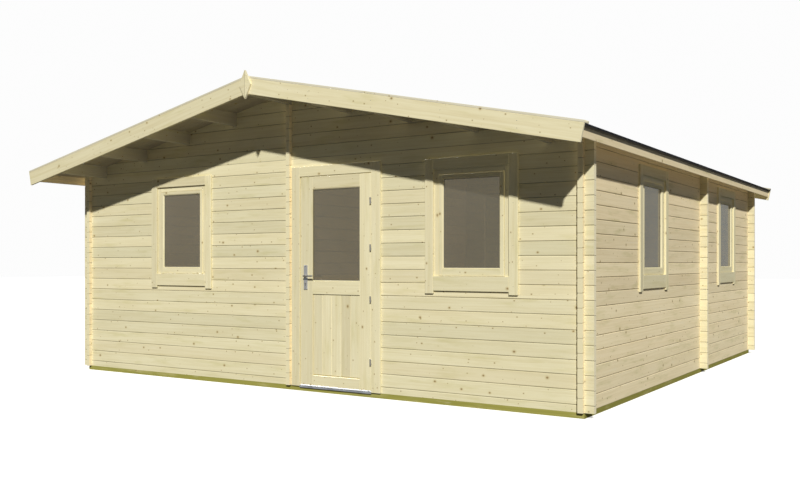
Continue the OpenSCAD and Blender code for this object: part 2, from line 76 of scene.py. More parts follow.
# %% Camera
EYE_ASIDE, EYE_BACK, EYE_HEIGHT = 2.487, 6.444, 1.195
LOOK_LEFT = math.radians(32.9)
LENS_MM = 39.74
SHIFT_UP = 0.02
SEE_AS_FAR_AS = 500.0
camera_data = bpy.data.cameras.new("camera")
camera_data.sensor_width = 36.0
camera_data.lens = LENS_MM
camera_data.shift_y = SHIFT_UP
camera_data.clip_end = SEE_AS_FAR_AS
camera = bpy.data.objects.new("camera", camera_data)
camera.location = (WALL_RIGHT + EYE_ASIDE, WALL_FRONT - EYE_BACK, EYE_HEIGHT)
camera.rotation_euler = (math.radians(90), 0, LOOK_LEFT)
bpy.context.scene.collection.objects.link(camera)
bpy.context.scene.camera = camera
print("camera at", tuple(round(v, 3) for v in camera.location))

# %% [markdown]
# ## Nodes without the wiring
# A finish is a graph of small steps. Writing `g.plus(a, b)` reads better than four
# lines that make a node, set it and join it, so one helper class does the wiring.
# A value may be a plain number or the output of an earlier step.

# %% A helper that adds and joins nodes
class Graph:
    """Adds nodes to one tree. Values are numbers, tuples or sockets."""

    def __init__(self, tree):
        self.tree = tree

    def put(self, socket, value):
        if isinstance(value, bpy.types.NodeSocket):
            self.tree.links.new(value, socket)
        else:
            socket.default_value = value

    def add(self, kind, inputs=None, **settings):
        node = self.tree.nodes.new(kind)
        for name, value in settings.items():
            setattr(node, name, value)
        for name, value in (inputs or {}).items():
            self.put(node.inputs[name], value)
        return node

    def math(self, operation, *values):
        node = self.add("ShaderNodeMath", operation=operation)
        for place, value in enumerate(values):
            self.put(node.inputs[place], value)
        return node.outputs[0]

    def times(self, a, b):
        return self.math("MULTIPLY", a, b)

    def plus(self, a, b):
        return self.math("ADD", a, b)

    def minus(self, a, b):
        return self.math("SUBTRACT", a, b)

    def ramp(self, value, low, high, to_low=0.0, to_high=1.0):
        """A soft step: to_low below low, to_high above high."""
        node = self.add("ShaderNodeMapRange", interpolation_type="SMOOTHSTEP")
        for name, number in (("Value", value), ("From Min", low), ("From Max", high),
                             ("To Min", to_low), ("To Max", to_high)):
            self.put(node.inputs[name], number)
        return node.outputs[0]

    def mix(self, share, first, second, how="MIX"):
        node = self.add("ShaderNodeMix", data_type="RGBA", blend_type=how, clamp_factor=True)
        self.put(node.inputs[0], share)
        self.put(node.inputs[6], first)
        self.put(node.inputs[7], second)
        return node.outputs[2]

    def split(self, vector):
        return self.add("ShaderNodeSeparateXYZ", {"Vector": vector}).outputs

    def join(self, x, y, z):
        return self.add("ShaderNodeCombineXYZ", {"X": x, "Y": y, "Z": z}).outputs[0]

    def noise(self, vector, scale, detail=2.0, roughness=0.5):
        return self.add("ShaderNodeTexNoise", {
            "Vector": vector, "Scale": scale, "Detail": detail, "Roughness": roughness}).outputs[0]

    def place(self):
        return self.add("ShaderNodeTexCoord").outputs["Object"]

    def facing(self):
        return self.split(self.add("ShaderNodeTexCoord").outputs["Normal"])


def new_finish(name, roughness, **sockets):
    """An empty finish: its graph, its shader, and the material itself."""
    material = bpy.data.materials.new(name)
    material.use_nodes = True
    shader = material.node_tree.nodes["Principled BSDF"]
    shader.inputs["Roughness"].default_value = roughness
    for socket, value in sockets.items():
        shader.inputs[socket.replace("_", " ")].default_value = value
    return Graph(material.node_tree), shader, material


print("helpers ready")

# %% [markdown]
# ## Spruce, from the inside out
# Planed spruce is pale, with growth rings that show as long flames on the face of
# a board and as arcs on its end, fine streaks along the grain, and small knots.
# It could be painted as flat stripes, but then each end and edge would be wrong.
# Here the wood is solid: rings are rounds about a wandering pith beside the board,
# and the board is cut from them, so face, edge and end agree by themselves.

# %% Rings about a pith, and noise drawn out along the grain
RING_PITCH = 0.0042


def stretched(g, along, across, third, run, cross, detail=2.0, roughness=0.5):
    """Noise that changes slowly along the grain and fast across it."""
    place = g.join(g.times(along, run), g.times(across, cross), third)
    return g.noise(place, 1.0, detail, roughness)


def rings(g, along, across, deep, own, uneven, bend):
    """The share of dark late wood at the end of each year's ring."""
    wander = g.minus(g.noise(g.join(along, own[1], 0.0), 0.9, 1.0), 0.5)
    off_side = g.math("MULTIPLY_ADD", wander, 0.09, g.math("MULTIPLY_ADD", own[1], 0.08, -0.04))
    off_deep = g.math("MULTIPLY_ADD", own[2], 0.05, 0.025)
    side = g.plus(across, off_side)
    depth = g.plus(deep, off_deep)
    radius = g.math("SQRT", g.plus(g.times(side, side), g.times(depth, depth)))
    radius = g.plus(g.plus(radius, bend), g.times(uneven, 0.004))
    ring = g.math("FRACT", g.math("DIVIDE", radius, RING_PITCH))
    return g.times(g.ramp(ring, 0.35, 0.85), g.ramp(ring, 0.9, 1.0, 1.0, 0.0))


print("rings are", RING_PITCH * 1000, "mm apart")

# %% [markdown]
# ## Knots
# A knot is a branch cut through: a dark rim, a lighter heart and a warm halo. One
# scatter of cells gives each cell a chance of a knot and its size. Spruce has both
# finger-sized knots and pin knots, so the scatter is used twice, coarse and fine.

# %% Knots, large and small
KNOT_CELLS = 4.6
PIN_KNOT_CELLS = 11.0
KNOT_HALO = (0.47, 0.37, 0.15, 1.0)
KNOT_RIM = (0.20, 0.125, 0.05, 1.0)
KNOT_HEART = (0.34, 0.21, 0.085, 1.0)


def knots(g, along, sideways, cells, least, spread):
    """The distance from the nearest knot in its own radii, and whether it is there."""
    spot = g.add("ShaderNodeTexVoronoi", {"Vector": g.join(g.times(along, 0.8), sideways, 0.0),
                                          "Scale": cells}, voronoi_dimensions="2D").outputs
    luck = g.split(spot["Color"])[0]
    radius = g.times(g.math("MAXIMUM", g.minus(luck, least), 0.0), spread)
    reach = g.math("DIVIDE", spot["Distance"], cells)
    away = g.math("DIVIDE", reach, g.math("MAXIMUM", radius, 0.0001))
    return away, g.math("GREATER_THAN", radius, 0.0005)


def tint_knot(g, color, away, present, halo, rim):
    for near, far, strength, tone in ((1.0, 2.8, halo, KNOT_HALO), (0.70, 1.20, rim, KNOT_RIM),
                                      (0.35, 0.80, 0.6, KNOT_HEART)):
        layer = g.times(present, g.ramp(away, near, far, strength, 0.0))
        color = g.mix(layer, color, tone)
    return color


print("knots in cells of", round(1 / KNOT_CELLS, 2), "and", round(1 / PIN_KNOT_CELLS, 2), "m")

# %% [markdown]
# ## Tone
# No two boards have the same colour. Each one mixes its pale and its honey tone by
# its late wood, its streaks and slow clouds, then takes blotches, and at last its
# own number makes it a little rosier or darker than its neighbour.

# %% The tone of planed wood
RESIN = (0.60, 0.545, 0.27, 1.0)
BLEACHED = (0.86, 0.80, 0.60, 1.0)
ROSY = (0.985, 0.93, 0.90, 1.0)


def planed_tone(g, given, own, luck, late_wood, streak, cloud, blotch):
    fibre = g.times(g.ramp(streak, 0.38, 0.68), 0.34)
    warmth = g.plus(g.times(late_wood, 0.30), g.plus(fibre, g.times(g.ramp(cloud, 0.3, 0.75), 0.26)))
    color = g.mix(warmth, given["Pale"], given["Honey"])
    color = g.mix(g.ramp(blotch, 0.52, 0.78, 0.0, 0.55), color, RESIN)
    color = g.mix(g.ramp(blotch, 0.22, 0.42, 0.30, 0.0), color, BLEACHED)
    color = g.mix(g.times(own[1], 0.5), color, ROSY, "MULTIPLY")
    shade = g.math("MULTIPLY_ADD", luck, 0.15, 0.89)
    grey = g.add("ShaderNodeCombineColor", {"Red": shade, "Green": shade, "Blue": shade}).outputs[0]
    return g.mix(1.0, color, grey, "MULTIPLY")


print("planed tone ready")

# %% [markdown]
# ## The spruce group
# The steps become one group, which every timber finish shares. It takes the place in the board (along,
# across, deep), the board's own number, which shifts everything, and how far the face is a sawn end. A
# sawn end takes the colour it is given, with the rings plain to see. The group gives a colour, and a
# height for the bump.

# %% Putting the wood together
FAR_APART = 40.0
SAWN_RING = (0.84, 0.78, 0.66, 1.0)


def make_spruce_group():
    tree = bpy.data.node_groups.new("spruce", "ShaderNodeTree")
    for name, kind in (("Grain", "Vector"), ("Board", "Float"), ("End", "Float"), ("Pale", "Color"),
                       ("Honey", "Color"), ("Sawn", "Color")):
        tree.interface.new_socket(name, in_out="INPUT", socket_type="NodeSocket" + kind)
    for name, kind in (("Color", "Color"), ("Height", "Float")):
        tree.interface.new_socket(name, in_out="OUTPUT", socket_type="NodeSocket" + kind)
    g = Graph(tree)
    given = g.add("NodeGroupInput").outputs
    chance = g.add("ShaderNodeTexWhiteNoise", {"W": given["Board"]}, noise_dimensions="1D").outputs
    own = g.split(chance["Color"])
    along, across, deep = g.split(given["Grain"])
    along = g.math("MULTIPLY_ADD", own[0], FAR_APART, along)
    sideways = g.math("MULTIPLY_ADD", own[1], FAR_APART, g.plus(across, deep))
    large, has_large = knots(g, along, sideways, KNOT_CELLS, 0.40, 0.015)
    small, has_small = knots(g, along, sideways, PIN_KNOT_CELLS, 0.45, 0.0085)

    # Rings bend round a large knot
    bend = g.times(has_large, g.ramp(large, 1.0, 3.2, 0.006, 0.0))
    uneven = stretched(g, along, across, g.times(deep, 30.0), 3.0, 30.0)
    late_wood = rings(g, along, across, deep, own, uneven, bend)

    streak = stretched(g, along, across, g.times(deep, 60.0), 1.6, 60.0, 3.0, 0.6)
    cloud = stretched(g, along, across, own[2], 0.8, 7.0)
    blotch = stretched(g, along, across, own[0], 2.2, 14.0, 3.0, 0.6)
    color = planed_tone(g, given, own, chance["Value"], late_wood, streak, cloud, blotch)
    color = tint_knot(g, color, large, has_large, 0.45, 0.72)
    color = tint_knot(g, color, small, has_small, 0.30, 0.75)
    ring_tone = g.mix(1.0, given["Sawn"], SAWN_RING, "MULTIPLY")
    sawn_tone = g.mix(g.times(late_wood, 0.6), given["Sawn"], ring_tone)
    color = g.mix(given["End"], color, sawn_tone)

    height = g.plus(g.times(late_wood, 0.5), g.times(streak, 0.8))
    height = g.plus(height, g.times(has_large, g.ramp(large, 0.8, 1.3, 1.2, 0.0)))
    g.add("NodeGroupOutput", {"Color": color, "Height": height})
    return tree


SPRUCE = make_spruce_group()
print("the spruce group has", len(SPRUCE.nodes), "nodes")

# %% [markdown]
# ## From a group to a finish
# Each timber part says how its boards run and where one board ends and the next begins. That is all that
# differs between a wall of logs, a bargeboard and a sash, so a finish is the group, a few placing steps
# and a bump. Boards that face the side are painted a little brighter and warmer than those that face the
# front, and sawn ends that face the side are painted paler: painted light, as if the sun fell more on the
# side.

# %% A timber finish from a placing rule
PALE = (0.795, 0.742, 0.500, 1.0)
HONEY = (0.670, 0.595, 0.355, 1.0)
# Painted light: the side tones and the pale sawn tone are brighter and warmer, as if the sun fell more on
# faces that look to the side.
SIDE_PALE_LIT = (0.950, 0.825, 0.550, 1.0)
SIDE_HONEY_LIT = (0.810, 0.675, 0.405, 1.0)
SAWN_PALE_LIT = (0.950, 0.875, 0.640, 1.0)
SAWN_DULL = (0.780, 0.720, 0.480, 1.0)
# Painted shade for the gaps at seams.
PAINTED_SEAM_SHADE = (0.055, 0.038, 0.018, 1.0)
GRAIN_DEPTH = 0.0006


def timber_finish(name, placing, pale=PALE, honey=HONEY, sawn=SAWN_PALE_LIT, roughness=0.62, bump=0.35):
    """placing(graph) gives grain, board number, end share and a share of painted shade for the gaps at
    seams.
    """
    g, shader, material = new_finish(name, roughness, Specular_IOR_Level=0.16)
    grain, board, end, dark = placing(g)
    wood = g.add("ShaderNodeGroup", node_tree=SPRUCE)
    for socket, value in (("Grain", grain), ("Board", board), ("End", end), ("Pale", pale),
                          ("Honey", honey), ("Sawn", sawn)):
        g.put(wood.inputs[socket], value)
    color = wood.outputs["Color"]
    # Painted shade: the gap at a seam is darkened in the colour.
    if dark is not None:
        color = g.mix(dark, color, PAINTED_SEAM_SHADE)
    g.put(shader.inputs["Base Color"], color)
    relief = g.add("ShaderNodeBump", {"Strength": bump, "Distance": GRAIN_DEPTH,
                                      "Height": wood.outputs["Height"]})
    g.put(shader.inputs["Normal"], relief.outputs[0])
    return material


def wear(node, material):
    """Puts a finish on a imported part."""
    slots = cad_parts[node].data.materials
    slots.clear()
    slots.append(material)


print("timber finishes ready")

# %% [markdown]
# ## Log walls
# A wall is a stack of tongued logs, each with a small bevel where it meets the next. Logs that run along X
# sit half a course lower than those along Y, which is how the corners lock. The bevels are in the part's
# shape. The finish adds what a stack shows: every log has its own tone, grain and knots, and the gap at
# the bottom of the bevel is painted dark, as the shade inside it, more so in some stretches than in
# others.

# %% The placing rule of a stack of logs
SEAM_HALF = 0.0030


def log_placing(along, half_step, middle, first_number):
    """Logs along axis 0 or 1, about the middle of their wall's thickness."""
    def placing(g):
        place = g.split(g.place())
        courses = g.plus(g.math("DIVIDE", g.minus(place[2], BEAM_TOP), COURSE), half_step)
        number = g.plus(g.math("FLOOR", courses), first_number)
        up = g.math("FRACT", courses)
        deep = g.minus(place[1 - along], middle)
        grain = g.join(place[along], g.times(g.minus(up, 0.5), COURSE), deep)
        end = g.math("GREATER_THAN", g.math("ABSOLUTE", g.facing()[along]), 0.7)
        from_seam = g.times(g.math("MINIMUM", up, g.minus(1.0, up)), COURSE)
        patches = g.noise(g.join(g.times(place[along], 2.5), number, 0.0), 1.0, 2.0)
        # Painted shade along the gap between two logs, patchy along the log.
        seam = g.ramp(from_seam, SEAM_HALF * 0.35, SEAM_HALF, 1.0, 0.0)
        dark = g.times(g.ramp(patches, 0.3, 0.7, 0.35, 0.85), seam)
        return grain, number, g.times(end, 0.9), dark
    return placing


def middle_of(node, axis):
    low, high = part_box(node)
    return (low[axis] + high[axis]) / 2


print("a log's seam is", SEAM_HALF * 2000, "mm wide")

# %% [markdown]
# ## Dressing the walls
# Six finishes do for all the walls: one for each line of logs, numbered apart so
# that no two walls repeat each other.

# %% Walls and partitions
NUMBERS_APART = 100
FIRST_NUMBER = 7
walls = (
    ("logs_front", 0, "front_wall_over_door",
     ("front_wall_left", "front_wall_right", "front_wall_over_door", "front_gable")),
    ("logs_back", 0, "back_wall", ("back_wall", "back_gable")),
    ("logs_cross", 0, "cross_partition", ("cross_partition",)),
    ("logs_right", 1, "right_wall", ("right_wall",)),
    ("logs_left", 1, "left_wall", ("left_wall",)),
    ("logs_middle", 1, "middle_partition_head",
     ("middle_partition_front", "middle_partition_rear", "middle_partition_head")),
)
for order, (name, along, sample, nodes) in enumerate(walls):
    half_step = 0.5 if along == 0 else 0.0
    # Logs along Y face the side and take the side tones, painted light; logs along X show their sawn ends
    # to the side, and these take the paler sawn tone, painted light too.
    tones = (PALE, HONEY, SAWN_PALE_LIT) if along == 0 else (SIDE_PALE_LIT, SIDE_HONEY_LIT, SAWN_DULL)
    first_number = NUMBERS_APART * order + FIRST_NUMBER
    placing = log_placing(along, half_step, middle_of(sample, 1 - along), first_number)
    finish = timber_finish(name, placing, *tones)
    for node in nodes:
        wear(node, finish)
print(len(walls), "walls dressed")

# %% [markdown]
# ## Boards on the slope
# The bargeboards and the cap boards follow the roof, so their grain is turned to its slope, and each side
# of the ridge is a board of its own, with a fine joint between the two, painted dark as the shade in its
# gap. The slope is read from the felt's largest face.

# %% The placing rule of sloping boards
top_face = max(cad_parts["right_felt"].data.polygons, key=lambda face: face.area)
ROOF_PITCH = math.atan2(abs(top_face.normal.x), abs(top_face.normal.z))
BOARD_HEART = 2.75


def slope_placing(g):
    place = g.split(g.place())
    aside = g.math("ABSOLUTE", place[0])
    cos, sin = math.cos(ROOF_PITCH), math.sin(ROOF_PITCH)
    along = g.minus(g.times(aside, cos), g.times(place[2], sin))
    across = g.plus(g.times(aside, sin), g.times(place[2], cos))
    number = g.plus(g.times(g.math("SIGN", place[0]), 3.0), g.math("SIGN", place[1]))
    grain = g.join(along, g.minus(across, BOARD_HEART), g.math("FRACT", g.math("ABSOLUTE", place[1])))
    end = g.math("GREATER_THAN", g.math("ABSOLUTE", g.facing()[0]), 0.7)
    # Painted shade in the joint at the ridge.
    seam = g.ramp(aside, 0.0006, 0.0016, 0.85, 0.0)
    return grain, number, g.times(end, 0.7), seam


print("roof pitch", round(math.degrees(ROOF_PITCH), 2), "degrees")

# %% [markdown]
# ## Boards that run back
# The purlins and the boards under the eaves run from front to back, so their grain
# does too. Each stands in its own band of X, and that gives it its number.

# %% The placing rule of purlins and fascias
BANDS_PER_METRE = 3.0


def run_back_placing(g):
    place = g.split(g.place())
    number = g.math("FLOOR", g.times(place[0], BANDS_PER_METRE))
    grain = g.join(place[1], g.math("FRACT", place[2]), g.math("FRACT", g.math("ABSOLUTE", place[0])))
    end = g.math("GREATER_THAN", g.math("ABSOLUTE", g.facing()[1]), 0.7)
    return grain, number, g.times(end, 0.7), None


print("purlin rule ready")

# %% [markdown]
# ## Eased edges on imported parts
# A planed board never has a knife edge. These parts have the right shape already, so they stay, and two
# modifiers finish them: one joins the loose corners, and one rounds the edges by a couple of millimetres.
# The cap boards are greyer and darker than the bargeboards. The purlins are painted darker and duller than
# the trim, as painted shade under the roof.

# %% Trim and purlins
CAP_PALE = (0.680, 0.650, 0.505, 1.0)
CAP_HONEY = (0.600, 0.560, 0.410, 1.0)
# Painted shade: the purlins' tones are darkened for the shade under the roof.
SHADED_PURLIN_PALE = (0.580, 0.540, 0.410, 1.0)
SHADED_PURLIN_HONEY = (0.480, 0.440, 0.300, 1.0)
TRIM_EDGE = 0.0025
CAP_EDGE = 0.0020


def ease(node, width):
    """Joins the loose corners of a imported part, then rounds its edges a little."""
    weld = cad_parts[node].modifiers.new("join_corners", "WELD")
    weld.merge_threshold = 0.00001
    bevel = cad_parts[node].modifiers.new("eased_edges", "BEVEL")
    bevel.width = width
    bevel.segments = 2
    bevel.limit_method = "ANGLE"
    bevel.angle_limit = math.radians(40)


slope_boards = timber_finish("slope_boards", slope_placing)
cap_boards = timber_finish("cap_boards", slope_placing, CAP_PALE, CAP_HONEY)
# The fascias face the side and take the side tones, painted light.
run_back_boards = timber_finish("run_back_boards", run_back_placing, SIDE_PALE_LIT, SIDE_HONEY_LIT)
purlin_timber = timber_finish("purlin_timber", run_back_placing, SHADED_PURLIN_PALE, SHADED_PURLIN_HONEY)
trim = (
    (slope_boards, TRIM_EDGE, ("front_bargeboards", "back_bargeboards", "diamonds")),
    (cap_boards, CAP_EDGE, ("front_cap_boards", "back_cap_boards")),
    (run_back_boards, TRIM_EDGE, ("fascias",)),
    (purlin_timber, TRIM_EDGE, ("ridge_purlin", "side_purlins")),
)
for finish, width, nodes in trim:
    for node in nodes:
        wear(node, finish)
        ease(node, width)
print(sum(len(nodes) for _, _, nodes in trim), "parts of trim and purlins dressed")

# %% [markdown]
# ## Treated timber
# The foundation and the joists are rough-sawn and pressure treated, so they are
# green, with the same rings under the tint. A beam along Y and a beam along X lie
# in one part, so the face tells which way its grain runs.

# %% Foundation and joists
TREATED_PALE = (0.345, 0.325, 0.078, 1.0)
TREATED_DARK = (0.245, 0.240, 0.045, 1.0)


def beam_placing(g):
    place = g.split(g.place())
    sideways = g.math("GREATER_THAN", g.math("ABSOLUTE", g.facing()[0]), 0.5)
    along = g.plus(g.times(place[1], sideways), g.times(place[0], g.minus(1.0, sideways)))
    return g.join(along, place[2], 0.0), g.plus(sideways, 3.0), 0.0, None


treated = timber_finish("treated_timber", beam_placing, TREATED_PALE, TREATED_DARK,
                        roughness=0.85, bump=0.9)
for node in ("foundation_beams", "floor_joists"):
    wear(node, treated)
print("foundation and joists dressed")

# %% [markdown]
# ## Felt
# Roofing felt is bitumen with a mineral surface: fine grit, which takes a speckle
# and a rough bump from the same scatter of cells, and slow patches where rain and
# dust have lain.

# %% Roofing felt
GRIT_CELLS = 520.0
BITUMEN = (0.012, 0.012, 0.014, 1.0)
GRIT = (0.075, 0.078, 0.085, 1.0)
DUST = (0.05, 0.052, 0.055, 1.0)


def felt_finish():
    g, shader, material = new_finish("roofing_felt", 0.95, Specular_IOR_Level=0.12)
    place = g.place()
    grit = g.add("ShaderNodeTexVoronoi", {"Vector": place, "Scale": GRIT_CELLS}).outputs
    speck = g.split(grit["Color"])[0]
    patch = g.noise(place, 1.6, 3.0)
    color = g.mix(g.ramp(speck, 0.55, 0.95), BITUMEN, GRIT)
    color = g.mix(g.ramp(patch, 0.35, 0.7, 0.0, 0.35), color, DUST)
    g.put(shader.inputs["Base Color"], color)
    relief = g.add("ShaderNodeBump", {"Strength": 0.6, "Distance": 0.0012, "Height": speck})
    g.put(shader.inputs["Normal"], relief.outputs[0])
    return material


felt = felt_finish()
for node in ("left_felt", "right_felt"):
    wear(node, felt)
print("felt laid")

# %% [markdown]
# ## Glass
# The imported pane is one thin sheet. It is partly see-through, so that the dim rooms show, with a faint
# grey-brown tone in slow clouds. It also glows faintly grey-brown: a painted glow that stands in for the
# daylight reflected by two panes, which a single clear sheet would lack.

# %% Panes
PAINTED_GLASS_GLOW = (0.098, 0.088, 0.062, 1.0)


def glass_finish():
    # Painted light: the pane glows, standing in for daylight reflected by the panes.
    g, shader, material = new_finish("window_glass", 0.04, Specular_IOR_Level=0.6, Alpha=0.66,
                                     Emission_Strength=1.0, Emission_Color=PAINTED_GLASS_GLOW)
    haze = g.ramp(g.noise(g.place(), 1.3, 2.0), 0.3, 0.75)
    g.put(shader.inputs["Base Color"], g.mix(haze, (0.030, 0.028, 0.022, 1.0), (0.055, 0.050, 0.040, 1.0)))
    return material


glass = glass_finish()
for node in ("front_window_glass", "side_window_glass", "door_glass"):
    wear(node, glass)
print("panes dressed")

# %% [markdown]
# ## Metal and rubber
# The door furniture is brushed, with fine lines along its length: noise squeezed
# across the lines changes both the colour and the roughness. The hinges and nails
# are darker, and the sill is duller. The gaskets are plain black rubber.

# %% Brushed metal and gasket rubber
BRUSH_LINES = 900.0
ALONG_LINES = 12.0


def metal_finish(name, base, roughness, across_axis):
    """Brushed metal whose fine lines change along across_axis."""
    g, shader, material = new_finish(name, roughness, Metallic=0.6)
    place = g.split(g.place())
    scales = [BRUSH_LINES if axis == across_axis else ALONG_LINES for axis in range(3)]
    squeezed = [g.times(place[axis], scales[axis]) for axis in range(3)]
    line = g.noise(g.join(*squeezed), 1.0, 2.0, 0.7)
    darker = tuple(0.72 * part for part in base[:3]) + (1.0,)
    g.put(shader.inputs["Base Color"], g.mix(g.ramp(line, 0.3, 0.7), darker, base))
    g.put(shader.inputs["Roughness"], g.ramp(line, 0.3, 0.7, roughness * 0.8, roughness * 1.25))
    return material


def rubber_finish():
    g, shader, material = new_finish("gasket_rubber", 0.6)
    color = g.mix(g.noise(g.place(), 60.0), (0.018, 0.018, 0.018, 1.0), (0.035, 0.034, 0.032, 1.0))
    g.put(shader.inputs["Base Color"], color)
    return material


steel = metal_finish("brushed_steel", (0.66, 0.64, 0.60, 1.0), 0.40, 0)
dark_steel = metal_finish("worn_steel", (0.33, 0.32, 0.30, 1.0), 0.42, 2)
sill_metal = metal_finish("sill_metal", (0.50, 0.51, 0.53, 1.0), 0.48, 1)
rubber = rubber_finish()
for node in ("frame_hinges", "leaf_hinges"):
    wear(node, dark_steel)
wear("threshold", sill_metal)
print("metal and rubber ready")

# %% [markdown]
# ## A joiner's bench
# Window and door joinery is many boards, each with its grain along its own length
# and its edges eased. One mesh for each unit keeps the list of pieces short. Every
# board is a box with rounded edges, and it writes its own place into an attribute:
# along, across and deep. The finish reads that attribute, so a rail's grain runs
# sideways and a stile's upright within a single mesh. What isn't a box is skinned:
# rows of points joined one to the next, whether a moulding, a strip or a round bar.

# %% Boards with eased edges, gathered into one mesh
class Bench:
    """Collects boards and turns them into one object."""

    def __init__(self, seed):
        self.points, self.faces, self.grain, self.number, self.smooth = [], [], [], [], []
        self.chance = random.Random(seed)
        self.boards = 0

    def keep(self, mesh, along, turn=None, soft=False):
        """Adds a bmesh, with its grain along one of its own axes, then placed by turn."""
        axes = [along] + [axis for axis in (2, 0, 1) if axis != along]
        shift = [self.chance.uniform(0, 3), 0.0, 0.0]
        middle = [sum(v.co[axis] for v in mesh.verts) / len(mesh.verts) for axis in range(3)]
        self.boards += 1
        start = len(self.points)
        mesh.verts.ensure_lookup_table()
        for vertex in mesh.verts:
            self.grain.append([vertex.co[axis] - middle[axis] + shift[place]
                               for place, axis in enumerate(axes)])
            self.number.append(float(self.boards))
            self.points.append(tuple(turn @ vertex.co if turn else vertex.co))
        for face in mesh.faces:
            self.faces.append([start + v.index for v in face.verts])
            self.smooth.append(soft)
        mesh.free()

    def skin(self, rows, along, turn=None, soft=False):
        """Joins each row of points to the next, and closes both ends."""
        mesh = bmesh.new()
        rows = [[mesh.verts.new(point) for point in row] for row in rows]
        count = len(rows[0])
        for first, second in zip(rows, rows[1:]):
            for k in range(count):
                after = (k + 1) % count
                mesh.faces.new((first[k], first[after], second[after], second[k]))
        mesh.faces.new(rows[0][::-1])
        mesh.faces.new(rows[-1])
        bmesh.ops.recalc_face_normals(mesh, faces=mesh.faces)
        self.keep(mesh, along, turn, soft)

    def board(self, low, high, along, edge=0.002, turn=None, rounds=2):
        """A box from its low corner to its high corner, with rounded edges."""
        mesh = bmesh.new()
        bmesh.ops.create_cube(mesh, size=1.0)
        for vertex in mesh.verts:
            for axis in range(3):
                vertex.co[axis] = high[axis] if vertex.co[axis] > 0 else low[axis]
        bmesh.ops.bevel(mesh, geom=mesh.edges[:], offset=edge, segments=rounds, affect="EDGES",
                        profile=0.5)
        self.keep(mesh, along, turn)

    def strip(self, outline, start, end, axis, turn=None):
        """An outline in the two axes after this one, drawn out from start to end."""
        rows = []
        for at in (start, end):
            row = []
            for first, second in outline:
                point = [0.0, 0.0, 0.0]
                point[axis], point[(axis + 1) % 3], point[(axis + 2) % 3] = at, first, second
                row.append(point)
            rows.append(row)
        self.skin(rows, axis, turn)

    def rod(self, points, radii, sides=16, soft=True):
        """A round bar through points, with its radius at each."""
        rows = []
        points = [Vector(p) for p in points]
        for i, (point, radius) in enumerate(zip(points, radii)):
            ahead = points[min(i + 1, len(points) - 1)] - points[max(i - 1, 0)]
            if i == 0:
                across = ahead.orthogonal().normalized()
            else:
                across = (across - across.project(ahead)).normalized()
            other = ahead.normalized().cross(across)
            turns = [2 * math.pi * k / sides for k in range(sides)]
            rows.append([point + radius * (math.cos(t) * across + math.sin(t) * other) for t in turns])
        self.skin(rows, 0, soft=soft)

    def finish(self, name, material, body, slot, replaces=()):
        mesh = bpy.data.meshes.new(name)
        mesh.from_pydata(self.points, [], self.faces)
        mesh.attributes.new("grain", "FLOAT_VECTOR", "POINT").data.foreach_set(
            "vector", [part for point in self.grain for part in point])
        mesh.attributes.new("board", "FLOAT", "POINT").data.foreach_set("value", self.number)
        mesh.polygons.foreach_set("use_smooth", self.smooth)
        mesh.materials.append(material)
        piece = bpy.data.objects.new(name, mesh)
        bpy.context.scene.collection.objects.link(piece)
        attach(piece, body)
        if replaces:
            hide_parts(*replaces)
        mesh.calc_loop_triangles()
        print(f"{name}: {self.boards} boards, {len(mesh.loop_triangles)} triangles")


print("bench ready")

# %% [markdown]
# ## Finishes for the bench
# These finishes read the place and the number that the bench has written.

# %% Joinery, roof and floor timber
# Painted shade: the roof boards are seen only from below, so their tones are darkened for the shade under
# the overhang.
SHADED_ROOF_PALE = (0.52, 0.47, 0.34, 1.0)
SHADED_ROOF_HONEY = (0.42, 0.36, 0.23, 1.0)
FLOOR_PALE = (0.78, 0.66, 0.42, 1.0)
FLOOR_HONEY = (0.64, 0.49, 0.26, 1.0)


def board_placing(g):
    grain = g.add("ShaderNodeAttribute", attribute_name="grain").outputs["Vector"]
    number = g.add("ShaderNodeAttribute", attribute_name="board").outputs["Fac"]
    return grain, number, 0.0, None


joinery = timber_finish("joinery_spruce", board_placing, roughness=0.55, bump=0.25)
roof_timber = timber_finish("roof_spruce", board_placing, SHADED_ROOF_PALE, SHADED_ROOF_HONEY)
floor_timber = timber_finish("floor_spruce", board_placing, FLOOR_PALE, FLOOR_HONEY)
print("joinery, roof and floor timber ready")

# %% [markdown]
# ## Roof boards
# From below, the overhang shows the roof boards: narrow tongued boards that run
# from the ridge to the eaves, with a V where two meet. A slab with painted lines
# would pass from afar, but the V's catch light near the front edge, so the boards
# are real. Each is laid flat, then turned to the slope about the ridge.

# %% Tongued boards in a row
ROOF_BOARD_W = 0.095
V_JOINT = 0.003
RIDGE_GAP = 0.0045
UNDER_FELT = 0.0002


def board_row(bench, low, high, row_axis, run_axis, width, turn=None, show_low=False):
    """Boards side by side along row_axis, each running along run_axis, eased at their joints."""
    count = max(1, round((high[row_axis] - low[row_axis]) / width))
    step = (high[row_axis] - low[row_axis]) / count
    bottom, top, v = low[2], high[2], V_JOINT
    for i in range(count):
        a = low[row_axis] + i * step
        b = a + step
        if show_low:
            outline = [(a, top), (a, bottom + v), (a + v, bottom),
                       (b - v, bottom), (b, bottom + v), (b, top)]
        else:
            outline = [(a, bottom), (b, bottom), (b, top - v),
                       (b - v, top), (a + v, top), (a, top - v)]
        if run_axis == 1:
            outline = [(z, x) for x, z in outline]
        bench.strip(outline, low[run_axis], high[run_axis], run_axis, turn)
    return count


